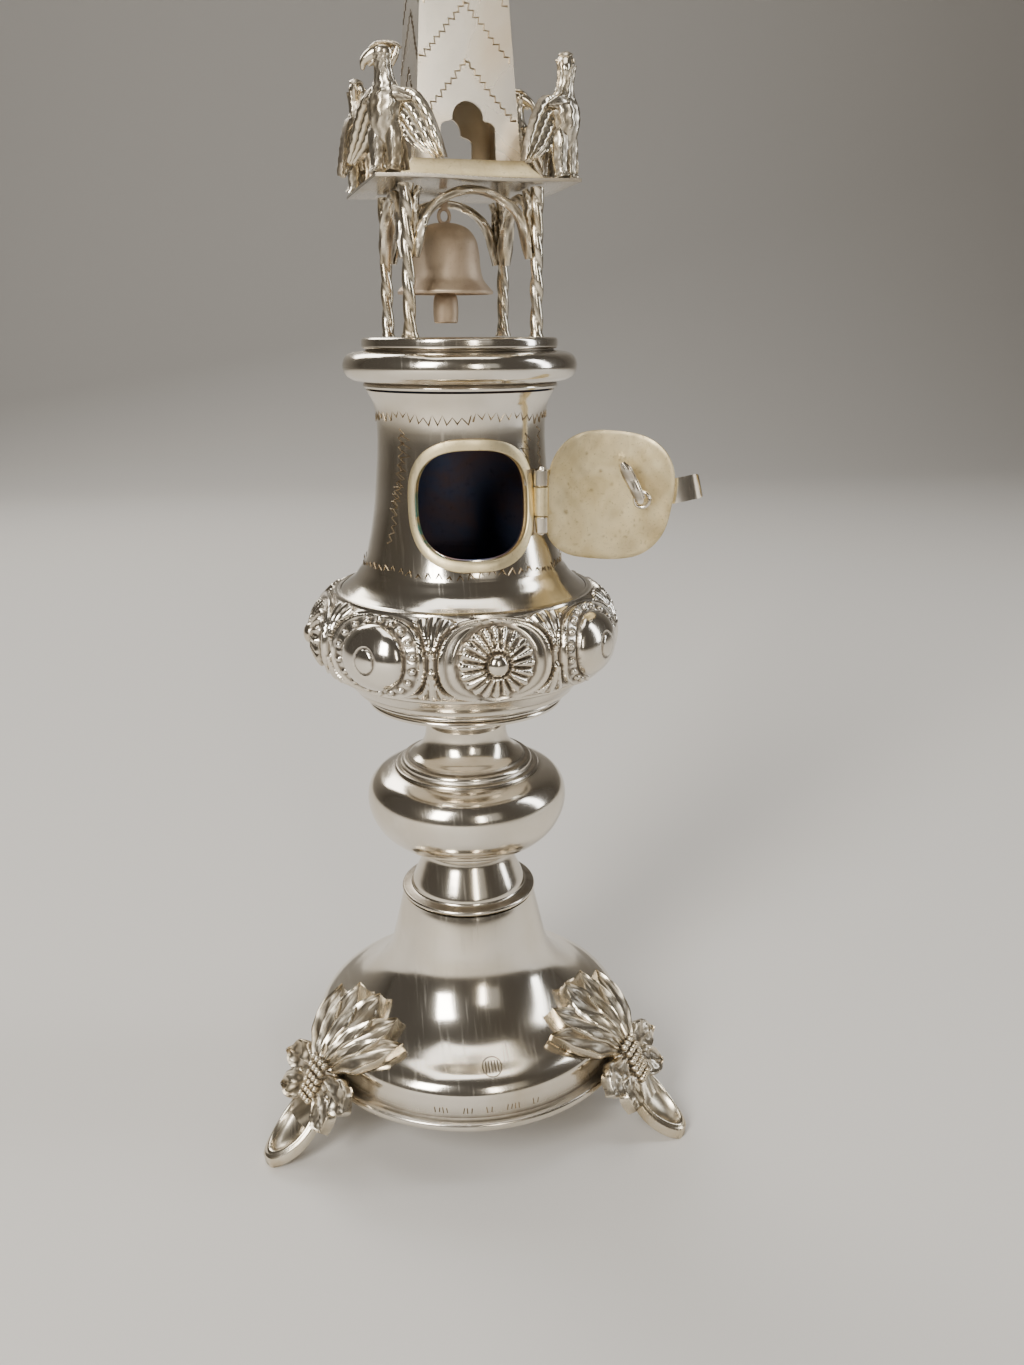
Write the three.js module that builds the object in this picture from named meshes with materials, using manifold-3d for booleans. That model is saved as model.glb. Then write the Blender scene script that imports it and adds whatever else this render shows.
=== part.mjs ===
import * as THREE from "three";
import { mergeGeometries, mergeVertices } from "three/addons/utils/BufferGeometryUtils.js";
import Module from "manifold-3d";

const wasm = await Module();
wasm.setup();

// A silver spice tower, in millimetres, +Z up. The door opening faces -Y.
// Every height is stacked from the foot up, so a taller piece lifts all that it carries.

// Fits shared by all pieces
const SEAM = 0.3; // between seated pieces
const PLAY = 0.3; // round whatever turns
const SHEET = 0.8; // wall of the raised silver

// Base: a bell-shaped dome on a stepped rim
const BASE_LIFT = 11.7; // rim's underside above the table
const RIM_RADIUS = 32.4;
const RIM_THICK = 1.7;
const SHOULDER_RADIUS = 30.4;
const SHOULDER_RISE = 4.6; // rim's top to the top of the shoulder
const CONE_FOOT_RADIUS = 16.6;
const CONE_TOP_RADIUS = 12.6;
const DOME_HEIGHT = 32.0; // rim's underside to the cone's top

// Feet: leaves and berries over the rim, and a spoon-shaped toe
const FOOT_COUNT = 3; // a divisor of TURNED_SIDES, so that every foot meets the dome alike
const FOOT_TWIST = -4; // degrees off the door's line
const TOE_REACH = 46.0; // tower axis to the toe's tip
const TOE_HALF_WIDTH = 4.2;
const TOE_PAD_LENGTH = 4.6;
const TOE_THICK = 3.0;
const SHANK_HALF_WIDTH = 6.4; // behind the berries
const SPOON_HALF_LENGTH = 5.6; // the hollow in the toe
const SPOON_DEPTH = 1.1;
const FOOT_THICK = 1.5;
const LEAF_TOP_RADIUS = 20.0; // where the highest leaf ends on the dome
const LEAF_TOP_RISE = 13.6; // rim's underside to the highest leaf's end
const LEAF_STAND = 2.4; // the leaves' ridges over the rim
const LEAF_SPREAD = 24; // degrees to the widest leaf tip
const LEAF_WIDTH = 5.4;
const BERRY_CLUSTER = 3.6; // radius of the cluster of berries

// Stem and knop
const BARREL_FOOT_RADIUS = 11.0;
const BARREL_TOP_RADIUS = 8.3;
const BARREL_HEIGHT = 8.0;
const KNOP_RING_RADIUS = 9.8;
const KNOP_RING_HEIGHT = 1.5;
const KNOP_RADIUS = 18.8;
const KNOP_HEIGHT = 16.4;
const KNOP_CAP_RADIUS = 12.3;
const KNOP_CAP_HEIGHT = 1.6;
const THROAT_RADIUS = 7.6;
const THROAT_HEIGHT = 11.4;

// Spice container: a waisted neck on a wide bulb
const PLATE_RADIUS = 17.9;
const PLATE_THICK = 1.2;
const LEDGE_RADIUS = 20.4;
const LEDGE_HEIGHT = 2.0;
const BULB_FOOT_RISE = 10.3; // ledge's top to the bulb's widest line
const BULB_RADIUS = 27.3;
const BULB_ROUND = 8.0; // radius of the bulb's side in section
const BULB_RISE = 8.6; // widest line to the bulb's shoulder
const NECK_FOOT_RADIUS = 16.9;
const NECK_FOOT_RISE = 15.6; // bulb's widest line to the foot of the neck
const NECK_RADIUS = 14.6;
const NECK_HEIGHT = 20.5; // foot of the neck to its waist
const COVE_HEIGHT = 6.0;
const COVE_RADIUS = 15.9;

// Chased work round the bulb
const MEDALLION_COUNT = 8;
const MEDALLION_TWIST = 4;
const MEDALLION_HALF_WIDTH = 9.5;
const MEDALLION_HALF_HEIGHT = 7.4;
const MEDALLION_TILT = 4; // degrees up from the bulb's widest line
const RELIEF = 0.7;
const FLOWER_RADIUS = 5.9;
const EYE_RADIUS = 1.6;
const OVAL_BAND = 1.1;
const SPOKES = 12; // points round a medallion, a multiple of four
const BOSS_RADIUS = 4.6;

// Door opening, its frame and the door
const DOOR_RISE = 24.4; // bulb's widest line to the door's centre
const HOLE_WIDTH = 17.7;
const HOLE_HEIGHT = 17.6;
const FRAME_BAND = 1.8; // above and below the hole
const FRAME_SIDE_BAND = 1.1;
const FRAME_RAISE = 1.1; // the frame's face over the neck
const CUSHION_POWER = 2.8; // squareness of the rounded outlines
const DOOR_THICK = 0.6;
const DOOR_OVERHANG = 0.3; // beyond the frame all round
const KNUCKLE_RADIUS = 1.3;
const HINGE_GAP = 0.4; // more room between the door's edge and its knuckles
const HINGE_LENGTH = 10.6;
const STRAP_LENGTH = 3.4; // hinge's axis to the end of a knuckle's plate
const MIDDLE_KNUCKLE = 4.8;
const PIN_RADIUS = 0.45;
const DOOR_OPEN = 172; // degrees from shut, as photographed

// Turning catch of the door
const CATCH_INSET = 3.8; // door's free edge to the stud
const CATCH_BAR = 7.6;
const CATCH_WIDTH = 1.3;
const CATCH_THICK = 0.6;
const CATCH_DEPTH = 3.8; // door's inner face to the bar
const CATCH_STUD_RADIUS = 0.5;
const CATCH_STAND = 0.8; // door's outer face to the tab
const CATCH_BAR_ANGLE = 60; // degrees up from the hinge's side
const CATCH_TAB = 9.2;
const CATCH_TAB_WIDTH = 4.2;
const CATCH_TAB_ANGLE = 166; // degrees up from the hinge's side

// Collar
const STEP_RADIUS = 16.4;
const STEP_HEIGHT = 1.2;
const TORUS_RADIUS = 19.9;
const TORUS_ROUND = 2.35;
const GROOVE_RADIUS = 15.8;
const GROOVE_HEIGHT = 0.5;
const DISC_RADIUS = 16.6;
const DISC_THICK = 1.8;

// Lantern
const LANTERN_TWIST = 6; // degrees off the door's line
const COLUMN_SPREAD = 10.4; // tower axis to each column, along X and along Y
const COLUMN_RADIUS = 1.05;
const COLUMN_HEIGHT = 21.8;
const COLUMN_TURNS = 1.75;
const ARCH_THICK = 1.0;
const ARCH_LEG = 10.8; // platform's underside to the cut end of a leg
const ARCH_STRIP = 1.7;
const ARCH_SPRING = 3.2; // platform's underside to where an arch leaves its leg

// Bell
const BELL_RADIUS = 7.9;
const BELL_HEIGHT = 11.0;
const BELL_WALL = 0.6;
const BELL_DROP = 4.6; // platform's underside to the bell's crown
const BELL_OFFSET = -2.3; // it hangs off the centre
const CLAPPER_RADIUS = 2.0;
const CLAPPER_DRUM = 4.8;
const CLAPPER_REACH = 4.6; // below the bell's mouth
const WIRE_RADIUS = 0.6;

// Platform, birds and spire
const PLATFORM_SIDE = 31.8;
const PLATFORM_THICK = 0.8;
const BIRD_HEIGHT = 17.4;
const BIRD_INSET = 3.0; // platform's corner to the bird's feet
const PAD_SIDE = 22.4;
const PAD_TOP_SIDE = 18.0;
const PAD_HEIGHT = 2.6;
const SPIRE_SIDE = 16.7;
const SPIRE_HEIGHT = 112;
const SPIRE_TIP_SIDE = 2.0;
const SPIRE_WALL = 0.6;
const DOORWAY_WIDTH = 8.7;
const DOORWAY_SHOULDER = 5.4;
const DOORWAY_HEAD_WIDTH = 4.9;
const DOORWAY_HEIGHT = 8.3;
const FINIAL_BALL = 2.2;
const FINIAL_HEIGHT = 12.0;

// Smoothness
const TURNED_SIDES = 18;
const SMALL_SIDES = 10;
const PATCH_SIDES = 26; // of the layers over the neck

const silver = new THREE.MeshStandardMaterial({ color: 0xc9c2b2, roughness: 0.2, metalness: 1 });
const castSilver = new THREE.MeshStandardMaterial({ color: 0xb8ab92, roughness: 0.35, metalness: 1 });
const bareSilver = new THREE.MeshStandardMaterial({ color: 0xc2b48c, roughness: 0.5, metalness: 1 });
const copper = new THREE.MeshStandardMaterial({ color: 0xa98462, roughness: 0.7, metalness: 0.6 });

const radians = THREE.MathUtils.degToRad;

// Solids

function toSolid(geometry) {
  const bare = new THREE.BufferGeometry();
  bare.setAttribute("position", geometry.getAttribute("position").clone());
  if (geometry.index) bare.setIndex(geometry.index.clone());
  const merged = mergeVertices(bare, 1e-4);
  return new wasm.Manifold(new wasm.Mesh({
    numProp: 3,
    vertProperties: new Float32Array(merged.getAttribute("position").array),
    triVerts: new Uint32Array(merged.index.array),
  }));
}

function toGeometry(solid) {
  const mesh = solid.getMesh();
  const geometry = new THREE.BufferGeometry();
  geometry.setAttribute("position", new THREE.BufferAttribute(new Float32Array(mesh.vertProperties), 3));
  geometry.setIndex(new THREE.BufferAttribute(new Uint32Array(mesh.triVerts), 1));
  geometry.computeVertexNormals();
  return geometry;
}

function joined(geometries) {
  return geometries.map(toSolid).reduce((whole, next) => whole.add(next));
}

// Turns a closed outline of [radius, height] points about Z.
function turned(outline, sides = TURNED_SIDES) {
  const points = outline.map(([radius, height]) => new THREE.Vector2(radius, height));
  if (THREE.ShapeUtils.area(points) < 0) points.reverse();
  points.push(points[0].clone());
  return new THREE.LatheGeometry(points, sides).rotateX(Math.PI / 2);
}

// Skins a row of rings of equal point counts and closes both ends.
function skinned(rings) {
  const count = rings[0].length;
  const vertices = rings.flat().flatMap((point) => point.toArray());
  const index = [];
  for (let ring = 0; ring < rings.length - 1; ring += 1) {
    for (let side = 0; side < count; side += 1) {
      const next = (side + 1) % count;
      const a = ring * count + side;
      const b = ring * count + next;
      index.push(a, b, b + count, a, b + count, a + count);
    }
  }
  [0, rings.length - 1].forEach((ring) => {
    const centre = rings[ring].reduce((sum, point) => sum.add(point), new THREE.Vector3());
    const hub = vertices.length / 3;
    vertices.push(...centre.divideScalar(count).toArray());
    for (let side = 0; side < count; side += 1) {
      const a = ring * count + side;
      const b = ring * count + (side + 1) % count;
      index.push(...(ring === 0 ? [hub, b, a] : [hub, a, b]));
    }
  });
  const geometry = new THREE.BufferGeometry();
  geometry.setAttribute("position", new THREE.Float32BufferAttribute(vertices, 3));
  geometry.setIndex(index);
  return geometry;
}

// A ring of points about a centre, spanned by two vectors, counter-clockwise about their cross product.
function ovalRing(centre, across, along, sides) {
  return Array.from({ length: sides }, (_, side) => {
    const angle = side / sides * 2 * Math.PI;
    return centre.clone().addScaledVector(across, Math.cos(angle)).addScaledVector(along, Math.sin(angle));
  });
}

// A tapering limb along a curve, with half-widths and half-depths given along it.
function limb(points, widths, depths, sides, side = new THREE.Vector3(1, 0, 0)) {
  const curve = new THREE.CatmullRomCurve3(points.map((point) => new THREE.Vector3(...point)));
  const rings = widths.map((width, index) => {
    const share = index / (widths.length - 1);
    const along = curve.getTangentAt(share);
    const depth = new THREE.Vector3().crossVectors(along, side).normalize();
    const across = new THREE.Vector3().crossVectors(depth, along).normalize();
    across.multiplyScalar(width);
    depth.multiplyScalar(depths[index]);
    return ovalRing(curve.getPointAt(share), across, depth, sides);
  });
  return skinned(rings);
}

// The inner side of an outline, one wall away from it.
function inset(outline, wall) {
  return outline.map((point, index) => {
    const before = outline[Math.max(index - 1, 0)];
    const after = outline[Math.min(index + 1, outline.length - 1)];
    const along = new THREE.Vector2(after[0] - before[0], after[1] - before[1]).normalize();
    return [point[0] - wall * along.y, point[1] + wall * along.x];
  });
}

function curvePoints(path, divisions) {
  return path.getPoints(divisions).map((point) => [point.x, point.y]);
}

// A rounded square, spanned by its width and height.
function cushion(width, height, sides = 16) {
  const outline = Array.from({ length: sides }, (_, side) => {
    const angle = side / sides * 2 * Math.PI;
    const [across, up] = [Math.cos(angle), Math.sin(angle)];
    const size = (Math.abs(across) ** CUSHION_POWER + Math.abs(up) ** CUSHION_POWER) ** (-1 / CUSHION_POWER);
    return new THREE.Vector2(width / 2 * across * size, height / 2 * up * size);
  });
  return new THREE.Shape(outline);
}

// A shape drawn in X and Z, standing upright and reaching from one depth to another along Y.
function upright(shape, from, to) {
  const geometry = new THREE.ExtrudeGeometry(shape, { depth: to - from, bevelEnabled: false });
  return geometry.rotateX(Math.PI / 2).translate(0, to, 0);
}

// A square frustum about Z.
function taper(lowSide, highSide, low, high) {
  const geometry = new THREE.CylinderGeometry(highSide / Math.SQRT2, lowSide / Math.SQRT2, high - low, 4);
  return geometry.rotateY(Math.PI / 4).rotateX(Math.PI / 2).translate(0, 0, (low + high) / 2);
}

// Base

const baseTop = BASE_LIFT + DOME_HEIGHT;

function domeOutline(grow) {
  const rimTop = BASE_LIFT + RIM_THICK;
  const shoulderTop = rimTop + SHOULDER_RISE;
  const coneFoot = shoulderTop + (baseTop - shoulderTop) * 0.42;
  const path = new THREE.Path();
  path.moveTo(RIM_RADIUS + grow, BASE_LIFT - grow);
  path.lineTo(RIM_RADIUS + grow, rimTop + grow);
  path.lineTo(SHOULDER_RADIUS + grow, rimTop + grow);
  path.quadraticCurveTo(SHOULDER_RADIUS + grow + 0.3, shoulderTop + grow,
    SHOULDER_RADIUS - 5, shoulderTop + 1.2 + grow);
  path.quadraticCurveTo(CONE_FOOT_RADIUS + 1.8, shoulderTop + 3.4 + grow, CONE_FOOT_RADIUS + grow, coneFoot);
  path.quadraticCurveTo(CONE_TOP_RADIUS + 2.2 + grow, baseTop - 8, CONE_TOP_RADIUS + grow, baseTop);
  return curvePoints(path, 3);
}

function footDome() {
  const outside = domeOutline(0);
  const inside = inset(outside, SHEET).filter((_, index) => index % 2 === 0);
  inside[0][1] = BASE_LIFT;
  const last = inside.length - 1;
  inside[last] = [inside[last][0], baseTop - SHEET];
  return turned([...outside, [0, baseTop], [0, baseTop - SHEET], ...inside.reverse()]);
}

// Feet, each modelled facing -Y and then turned to its place

const firstFoot = FOOT_TWIST - 180 / FOOT_COUNT; // degrees off the door's line
const widest = Math.max(RIM_RADIUS, SHOULDER_RADIUS);
const shoulderLine = BASE_LIFT + RIM_THICK + SHOULDER_RISE;
const toeBend = [TOE_REACH - TOE_THICK * 2.67, BASE_LIFT * 0.52];

// Height and reach of a foot's outer side, from the highest leaf down to the toe.
const footSide = new THREE.SplineCurve([
  new THREE.Vector2(LEAF_TOP_RADIUS, BASE_LIFT + LEAF_TOP_RISE),
  new THREE.Vector2(SHOULDER_RADIUS - LEAF_STAND * 1.4, shoulderLine + LEAF_STAND * 1.2),
  new THREE.Vector2(widest + LEAF_STAND / 6, BASE_LIFT + RIM_THICK + LEAF_STAND * 1.3),
  new THREE.Vector2(widest + LEAF_STAND, BASE_LIFT + LEAF_STAND / 4),
  new THREE.Vector2(...toeBend),
  new THREE.Vector2(TOE_REACH, TOE_THICK),
]);

function onFoot(share, degrees) {
  const point = footSide.getPoint(share);
  const angle = radians(degrees);
  return new THREE.Vector3(point.x * Math.sin(angle), -point.x * Math.cos(angle), point.y);
}

// A pointed leaf with a raised midrib, laid over the dome from near the berries to its tip.
function leaf(fromShare, fromDegrees, toShare, toDegrees, width) {
  const steps = 3;
  const rings = Array.from({ length: steps }, (_, step) => {
    const t = step / (steps - 1);
    const at = (share) => onFoot(
      THREE.MathUtils.lerp(fromShare, toShare, share),
      THREE.MathUtils.lerp(fromDegrees, toDegrees, share),
    );
    const centre = at(t);
    const along = at(Math.min(t + 0.05, 1)).sub(at(Math.max(t - 0.05, 0))).normalize();
    const radial = new THREE.Vector3(centre.x, centre.y, 0).normalize();
    const out = radial.add(new THREE.Vector3(0, 0, 0.9)).normalize();
    const across = new THREE.Vector3().crossVectors(out, along).normalize();
    const half = width / 2 * (0.25 + 0.95 * Math.sin(Math.PI * Math.min(0.2 + 0.78 * t, 1)));
    const lift = FOOT_THICK * (0.75 - 0.35 * t);
    const under = centre.clone().addScaledVector(out, -FOOT_THICK * 0.4);
    return [
      under.clone().addScaledVector(across, half),
      centre.clone().addScaledVector(out, lift),
      under.clone().addScaledVector(across, -half),
    ];
  });
  return skinned(rings);
}

function foot() {
  const body = [];
  const heart = 0.42;
  const leaves = [
    [0.00, 0, LEAF_WIDTH], [0.10, -0.55, LEAF_WIDTH], [0.10, 0.55, LEAF_WIDTH],
    [0.26, -0.92, LEAF_WIDTH], [0.26, 0.92, LEAF_WIDTH],
    [0.5, -0.95, LEAF_WIDTH], [0.5, 0.95, LEAF_WIDTH],
  ];
  leaves.forEach(([share, spread, width]) => {
    const start = THREE.MathUtils.lerp(heart, share, 0.25);
    body.push(leaf(start, spread * LEAF_SPREAD * 0.25, share, spread * LEAF_SPREAD, width));
  });
  const shank = [0.22, 0.5, 0.72, 0.88, 1].map((share) => {
    const point = footSide.getPoint(share);
    const slope = footSide.getTangent(share);
    const out = new THREE.Vector3(0, -Math.max(-slope.y, 0.1), Math.max(slope.x, 0.2)).normalize();
    const half = THREE.MathUtils.lerp(SHANK_HALF_WIDTH, TOE_HALF_WIDTH, share);
    const deep = THREE.MathUtils.lerp(FOOT_THICK * 1.6, TOE_THICK * 1.2, Math.max(share * 1.6 - 0.6, 0));
    const centre = new THREE.Vector3(0, -point.x, point.y).addScaledVector(out, -deep / 2);
    return ovalRing(centre, new THREE.Vector3(half, 0, 0), out.clone().multiplyScalar(deep / 2), 5);
  });
  body.push(skinned(shank));
  const cluster = onFoot(heart, 0);
  body.push(new THREE.IcosahedronGeometry(BERRY_CLUSTER, 0).translate(...cluster.toArray()));
  const pad = new THREE.BoxGeometry(TOE_HALF_WIDTH * 1.5, TOE_PAD_LENGTH, TOE_THICK);
  body.push(pad.translate(0, -TOE_REACH + TOE_PAD_LENGTH * 0.67, TOE_THICK / 2));
  const hollow = new THREE.SphereGeometry(1, 6, 4);
  hollow.scale(TOE_HALF_WIDTH * 0.62, SPOON_HALF_LENGTH, SPOON_DEPTH);
  const spoon = footSide.getPoint(0.88);
  const tilt = Math.atan2(toeBend[1] - TOE_THICK, TOE_REACH - toeBend[0]);
  hollow.rotateX(-tilt * 1.1).translate(0, -spoon.x, spoon.y + SPOON_DEPTH / 3);
  const clear = turned([...domeOutline(SEAM), [0, baseTop], [0, BASE_LIFT - SEAM]]);
  clear.rotateZ(-radians(firstFoot));
  const span = 2 * TOE_REACH;
  const above = new THREE.BoxGeometry(span, span, span).translate(0, -span / 2, span / 2);
  return joined(body).subtract(toSolid(hollow)).subtract(toSolid(clear)).intersect(toSolid(above));
}

// Stem

const stemLow = baseTop + SEAM;
const knopLow = stemLow + BARREL_HEIGHT + KNOP_RING_HEIGHT;
const knopTop = knopLow + KNOP_HEIGHT;
const stemTop = knopTop + KNOP_CAP_HEIGHT + THROAT_HEIGHT;

function stemKnop() {
  const path = new THREE.Path();
  path.moveTo(0, stemLow);
  path.lineTo(CONE_TOP_RADIUS, stemLow);
  path.lineTo(CONE_TOP_RADIUS, stemLow + 0.9);
  path.lineTo(BARREL_FOOT_RADIUS, stemLow + 1.2);
  path.quadraticCurveTo(BARREL_TOP_RADIUS + 1.6, stemLow + 4.4,
    BARREL_TOP_RADIUS, knopLow - KNOP_RING_HEIGHT);
  path.lineTo(KNOP_RING_RADIUS, knopLow - KNOP_RING_HEIGHT + 0.3);
  path.lineTo(KNOP_RING_RADIUS, knopLow - 0.2);
  path.lineTo(KNOP_RING_RADIUS + 1.2, knopLow);
  path.bezierCurveTo(KNOP_RADIUS - 1.5, knopLow + 0.4, KNOP_RADIUS, knopLow + 4.5,
    KNOP_RADIUS, knopLow + KNOP_HEIGHT * 0.56);
  path.bezierCurveTo(KNOP_RADIUS, knopTop - 3.6, KNOP_CAP_RADIUS + 4, knopTop - 0.8,
    KNOP_CAP_RADIUS, knopTop);
  path.lineTo(KNOP_CAP_RADIUS - 0.2, knopTop + KNOP_CAP_HEIGHT * 0.5);
  path.lineTo(KNOP_CAP_RADIUS - 1.4, knopTop + KNOP_CAP_HEIGHT * 0.55);
  path.lineTo(KNOP_CAP_RADIUS - 1.5, knopTop + KNOP_CAP_HEIGHT);
  path.quadraticCurveTo(THROAT_RADIUS, knopTop + KNOP_CAP_HEIGHT + 0.4,
    THROAT_RADIUS, knopTop + KNOP_CAP_HEIGHT + THROAT_HEIGHT * 0.45);
  path.quadraticCurveTo(THROAT_RADIUS, stemTop - 0.8, THROAT_RADIUS + 3.4, stemTop);
  path.lineTo(0, stemTop);
  return turned(curvePoints(path, 3));
}

// Spice container

const bodyLow = stemTop + SEAM;
const bulbLine = bodyLow + PLATE_THICK + LEDGE_HEIGHT + BULB_FOOT_RISE;
const doorLine = bulbLine + DOOR_RISE;
const neckFoot = bulbLine + NECK_FOOT_RISE;
const neckWaist = neckFoot + NECK_HEIGHT;
const bodyTop = neckWaist + COVE_HEIGHT;
const bulbStart = -72;
const bulbEnd = 62;
const bandStart = 2 * MEDALLION_TILT - bulbEnd; // the chased band runs from here to bulbEnd

// A point of the bulb's side in section, by its angle up from the widest line.
function bulbPoint(degrees) {
  const angle = radians(degrees);
  const rise = degrees > 0 ? BULB_RISE : BULB_ROUND;
  return [BULB_RADIUS - BULB_ROUND + BULB_ROUND * Math.cos(angle), bulbLine + rise * Math.sin(angle)];
}

function neckOutline() {
  const [shoulder, shoulderTop] = bulbPoint(bulbEnd);
  const path = new THREE.Path();
  path.moveTo(shoulder, shoulderTop);
  path.bezierCurveTo(shoulder - 3.4, shoulderTop + 1.9, NECK_FOOT_RADIUS + 1.0, neckFoot - 4.6,
    NECK_FOOT_RADIUS, neckFoot);
  path.bezierCurveTo(NECK_FOOT_RADIUS - 1.1, neckFoot + 5, NECK_RADIUS, neckWaist - 9,
    NECK_RADIUS, neckWaist);
  path.quadraticCurveTo(NECK_RADIUS, neckWaist + 3.2, COVE_RADIUS, bodyTop);
  return curvePoints(path, 3);
}

function ledgeOutline() {
  const ledgeLow = bodyLow + PLATE_THICK + 0.9;
  return [
    [PLATE_RADIUS, bodyLow],
    [PLATE_RADIUS, bodyLow + PLATE_THICK],
    [LEDGE_RADIUS - 1.6, ledgeLow],
    [LEDGE_RADIUS, ledgeLow + 0.3],
    [LEDGE_RADIUS + 0.2, bodyLow + PLATE_THICK + LEDGE_HEIGHT],
  ];
}

function neckRadiusAt(height) {
  const line = neckOutline();
  const next = line.findIndex((point) => point[1] >= height);
  const [low, high] = [line[next - 1], line[next]];
  return low[0] + (high[0] - low[0]) * (height - low[1]) / (high[1] - low[1]);
}

// A point over the bulb: across and up in millimetres from a medallion's centre, and out from the surface.
function overBulb(azimuth, across, up, out) {
  const degrees = MEDALLION_TILT + THREE.MathUtils.radToDeg(up / BULB_ROUND);
  const [radius, height] = bulbPoint(degrees);
  const tilt = radians(degrees);
  const reach = radius + out * Math.cos(tilt);
  const angle = radians(azimuth) + across / BULB_RADIUS;
  return new THREE.Vector3(reach * Math.sin(angle), -reach * Math.cos(angle), height + out * Math.sin(tilt));
}

// An oval ring round a medallion's centre, its sides a little squared.
function ovalAt(halfWidth, halfHeight, spoke) {
  const angle = (spoke / SPOKES - 1 / 8) * 2 * Math.PI;
  const squared = (value) => Math.sign(value) * Math.abs(value) ** 0.82;
  return [halfWidth * squared(Math.cos(angle)), halfHeight * squared(Math.sin(angle))];
}

// A ring of a medallion: its size across and up, and how far each spoke stands out.
function medallionRings(isFlower) {
  const [width, height] = [MEDALLION_HALF_WIDTH, MEDALLION_HALF_HEIGHT];
  const ridge = (spoke) => (spoke % 2 ? RELIEF * 0.3 : RELIEF * 1.2);
  const middle = isFlower
    ? [[EYE_RADIUS, EYE_RADIUS, () => RELIEF * 1.5], [FLOWER_RADIUS, FLOWER_RADIUS, ridge],
      [FLOWER_RADIUS + 0.5, FLOWER_RADIUS + 0.4, () => 0]]
    : [[EYE_RADIUS, EYE_RADIUS, () => RELIEF * 2.4],
      [BOSS_RADIUS * 0.7, BOSS_RADIUS * 0.7, () => RELIEF * 1.8],
      [BOSS_RADIUS, BOSS_RADIUS, () => 0]];
  return [
    ...middle,
    [width - OVAL_BAND / 2, height - OVAL_BAND / 2, () => RELIEF],
    [width, height, () => 0],
  ];
}

// One sector of the chased band: a medallion, and half a fan in each of its corners.
function medallionSector(azimuth, isFlower) {
  const halfAcross = Math.PI * BULB_RADIUS / MEDALLION_COUNT;
  const halfUp = radians(bulbEnd - MEDALLION_TILT) * BULB_ROUND;
  const steps = SPOKES / 4;
  const edge = [];
  for (let side = 0; side < 4; side += 1) {
    for (let step = 0; step < steps; step += 1) {
      const along = 2 * step / steps - 1;
      const [x, y] = [[1, along], [-along, 1], [-1, -along], [along, -1]][side];
      edge.push([x * halfAcross, y * halfUp, 0]);
    }
  }
  const isCorner = (spoke) => spoke % steps === 0;
  const rings = medallionRings(isFlower).map(([width, height, rise]) => (
    edge.map((_, spoke) => [...ovalAt(width, height, spoke), rise(spoke)])));
  const outer = rings[rings.length - 1];
  rings.push(edge.map(([across, up], spoke) => [
    (outer[spoke][0] + across) / 2, (outer[spoke][1] + up) / 2, isCorner(spoke) ? RELIEF * 1.3 : 0]));
  rings.push(edge);
  const points = [[0, 0, isFlower ? RELIEF * 2.2 : RELIEF * 2.7], ...rings.flat()];
  const index = [];
  for (let spoke = 0; spoke < SPOKES; spoke += 1) {
    const next = (spoke + 1) % SPOKES;
    index.push(0, 1 + spoke, 1 + next);
    for (let ring = 0; ring < rings.length - 1; ring += 1) {
      const [a, b] = [1 + ring * SPOKES + spoke, 1 + ring * SPOKES + next];
      index.push(a, a + SPOKES, b + SPOKES, a, b + SPOKES, b);
    }
  }
  const geometry = new THREE.BufferGeometry();
  const vertices = points.flatMap(([across, up, out]) => overBulb(azimuth, across, up, out).toArray());
  geometry.setAttribute("position", new THREE.Float32BufferAttribute(vertices, 3));
  geometry.setIndex(index);
  return geometry;
}

// An open surface turned about Z, with the medallions' sectors as its sides.
function turnedSkin(outline) {
  const points = outline.map(([radius, height]) => new THREE.Vector2(radius, height));
  const start = radians(MEDALLION_TWIST) - Math.PI / MEDALLION_COUNT;
  const skin = new THREE.LatheGeometry(points, MEDALLION_COUNT * SPOKES / 4, start).rotateX(Math.PI / 2);
  skin.deleteAttribute("normal");
  skin.deleteAttribute("uv");
  return skin;
}

const frameWidth = HOLE_WIDTH + 2 * FRAME_SIDE_BAND;
const frameHeight = HOLE_HEIGHT + 2 * FRAME_BAND;
const doorWidth = frameWidth + 2 * DOOR_OVERHANG;
const doorHeight = frameHeight + 2 * DOOR_OVERHANG;

function hingeAxis() {
  const reach = neckRadiusAt(doorLine) + FRAME_RAISE + SEAM + DOOR_THICK / 2;
  const edge = Math.asin(doorWidth / 2 / reach);
  const angle = edge + (KNUCKLE_RADIUS + PLAY + HINGE_GAP) / reach;
  return new THREE.Vector2(reach * Math.sin(angle), -reach * Math.cos(angle));
}

// A rounded square about the door's line, standing from the tower's axis out past the bulb.
function doorCutter(width, height) {
  return toSolid(upright(cushion(width, height), -2 * BULB_RADIUS, 0).translate(0, 0, doorLine));
}

// A curved layer over the neck, between two offsets, cut to a rounded square.
function neckPatch(width, height, inner, outer) {
  const line = neckOutline().filter(([, z]) => Math.abs(z - doorLine) < height / 2 + 4);
  const near = line.map(([radius, z]) => [radius + inner, z]);
  const far = line.map(([radius, z]) => [radius + outer, z]);
  const layer = toSolid(turned([...far, ...near.reverse()], PATCH_SIDES));
  return layer.intersect(doorCutter(width, height));
}

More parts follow.
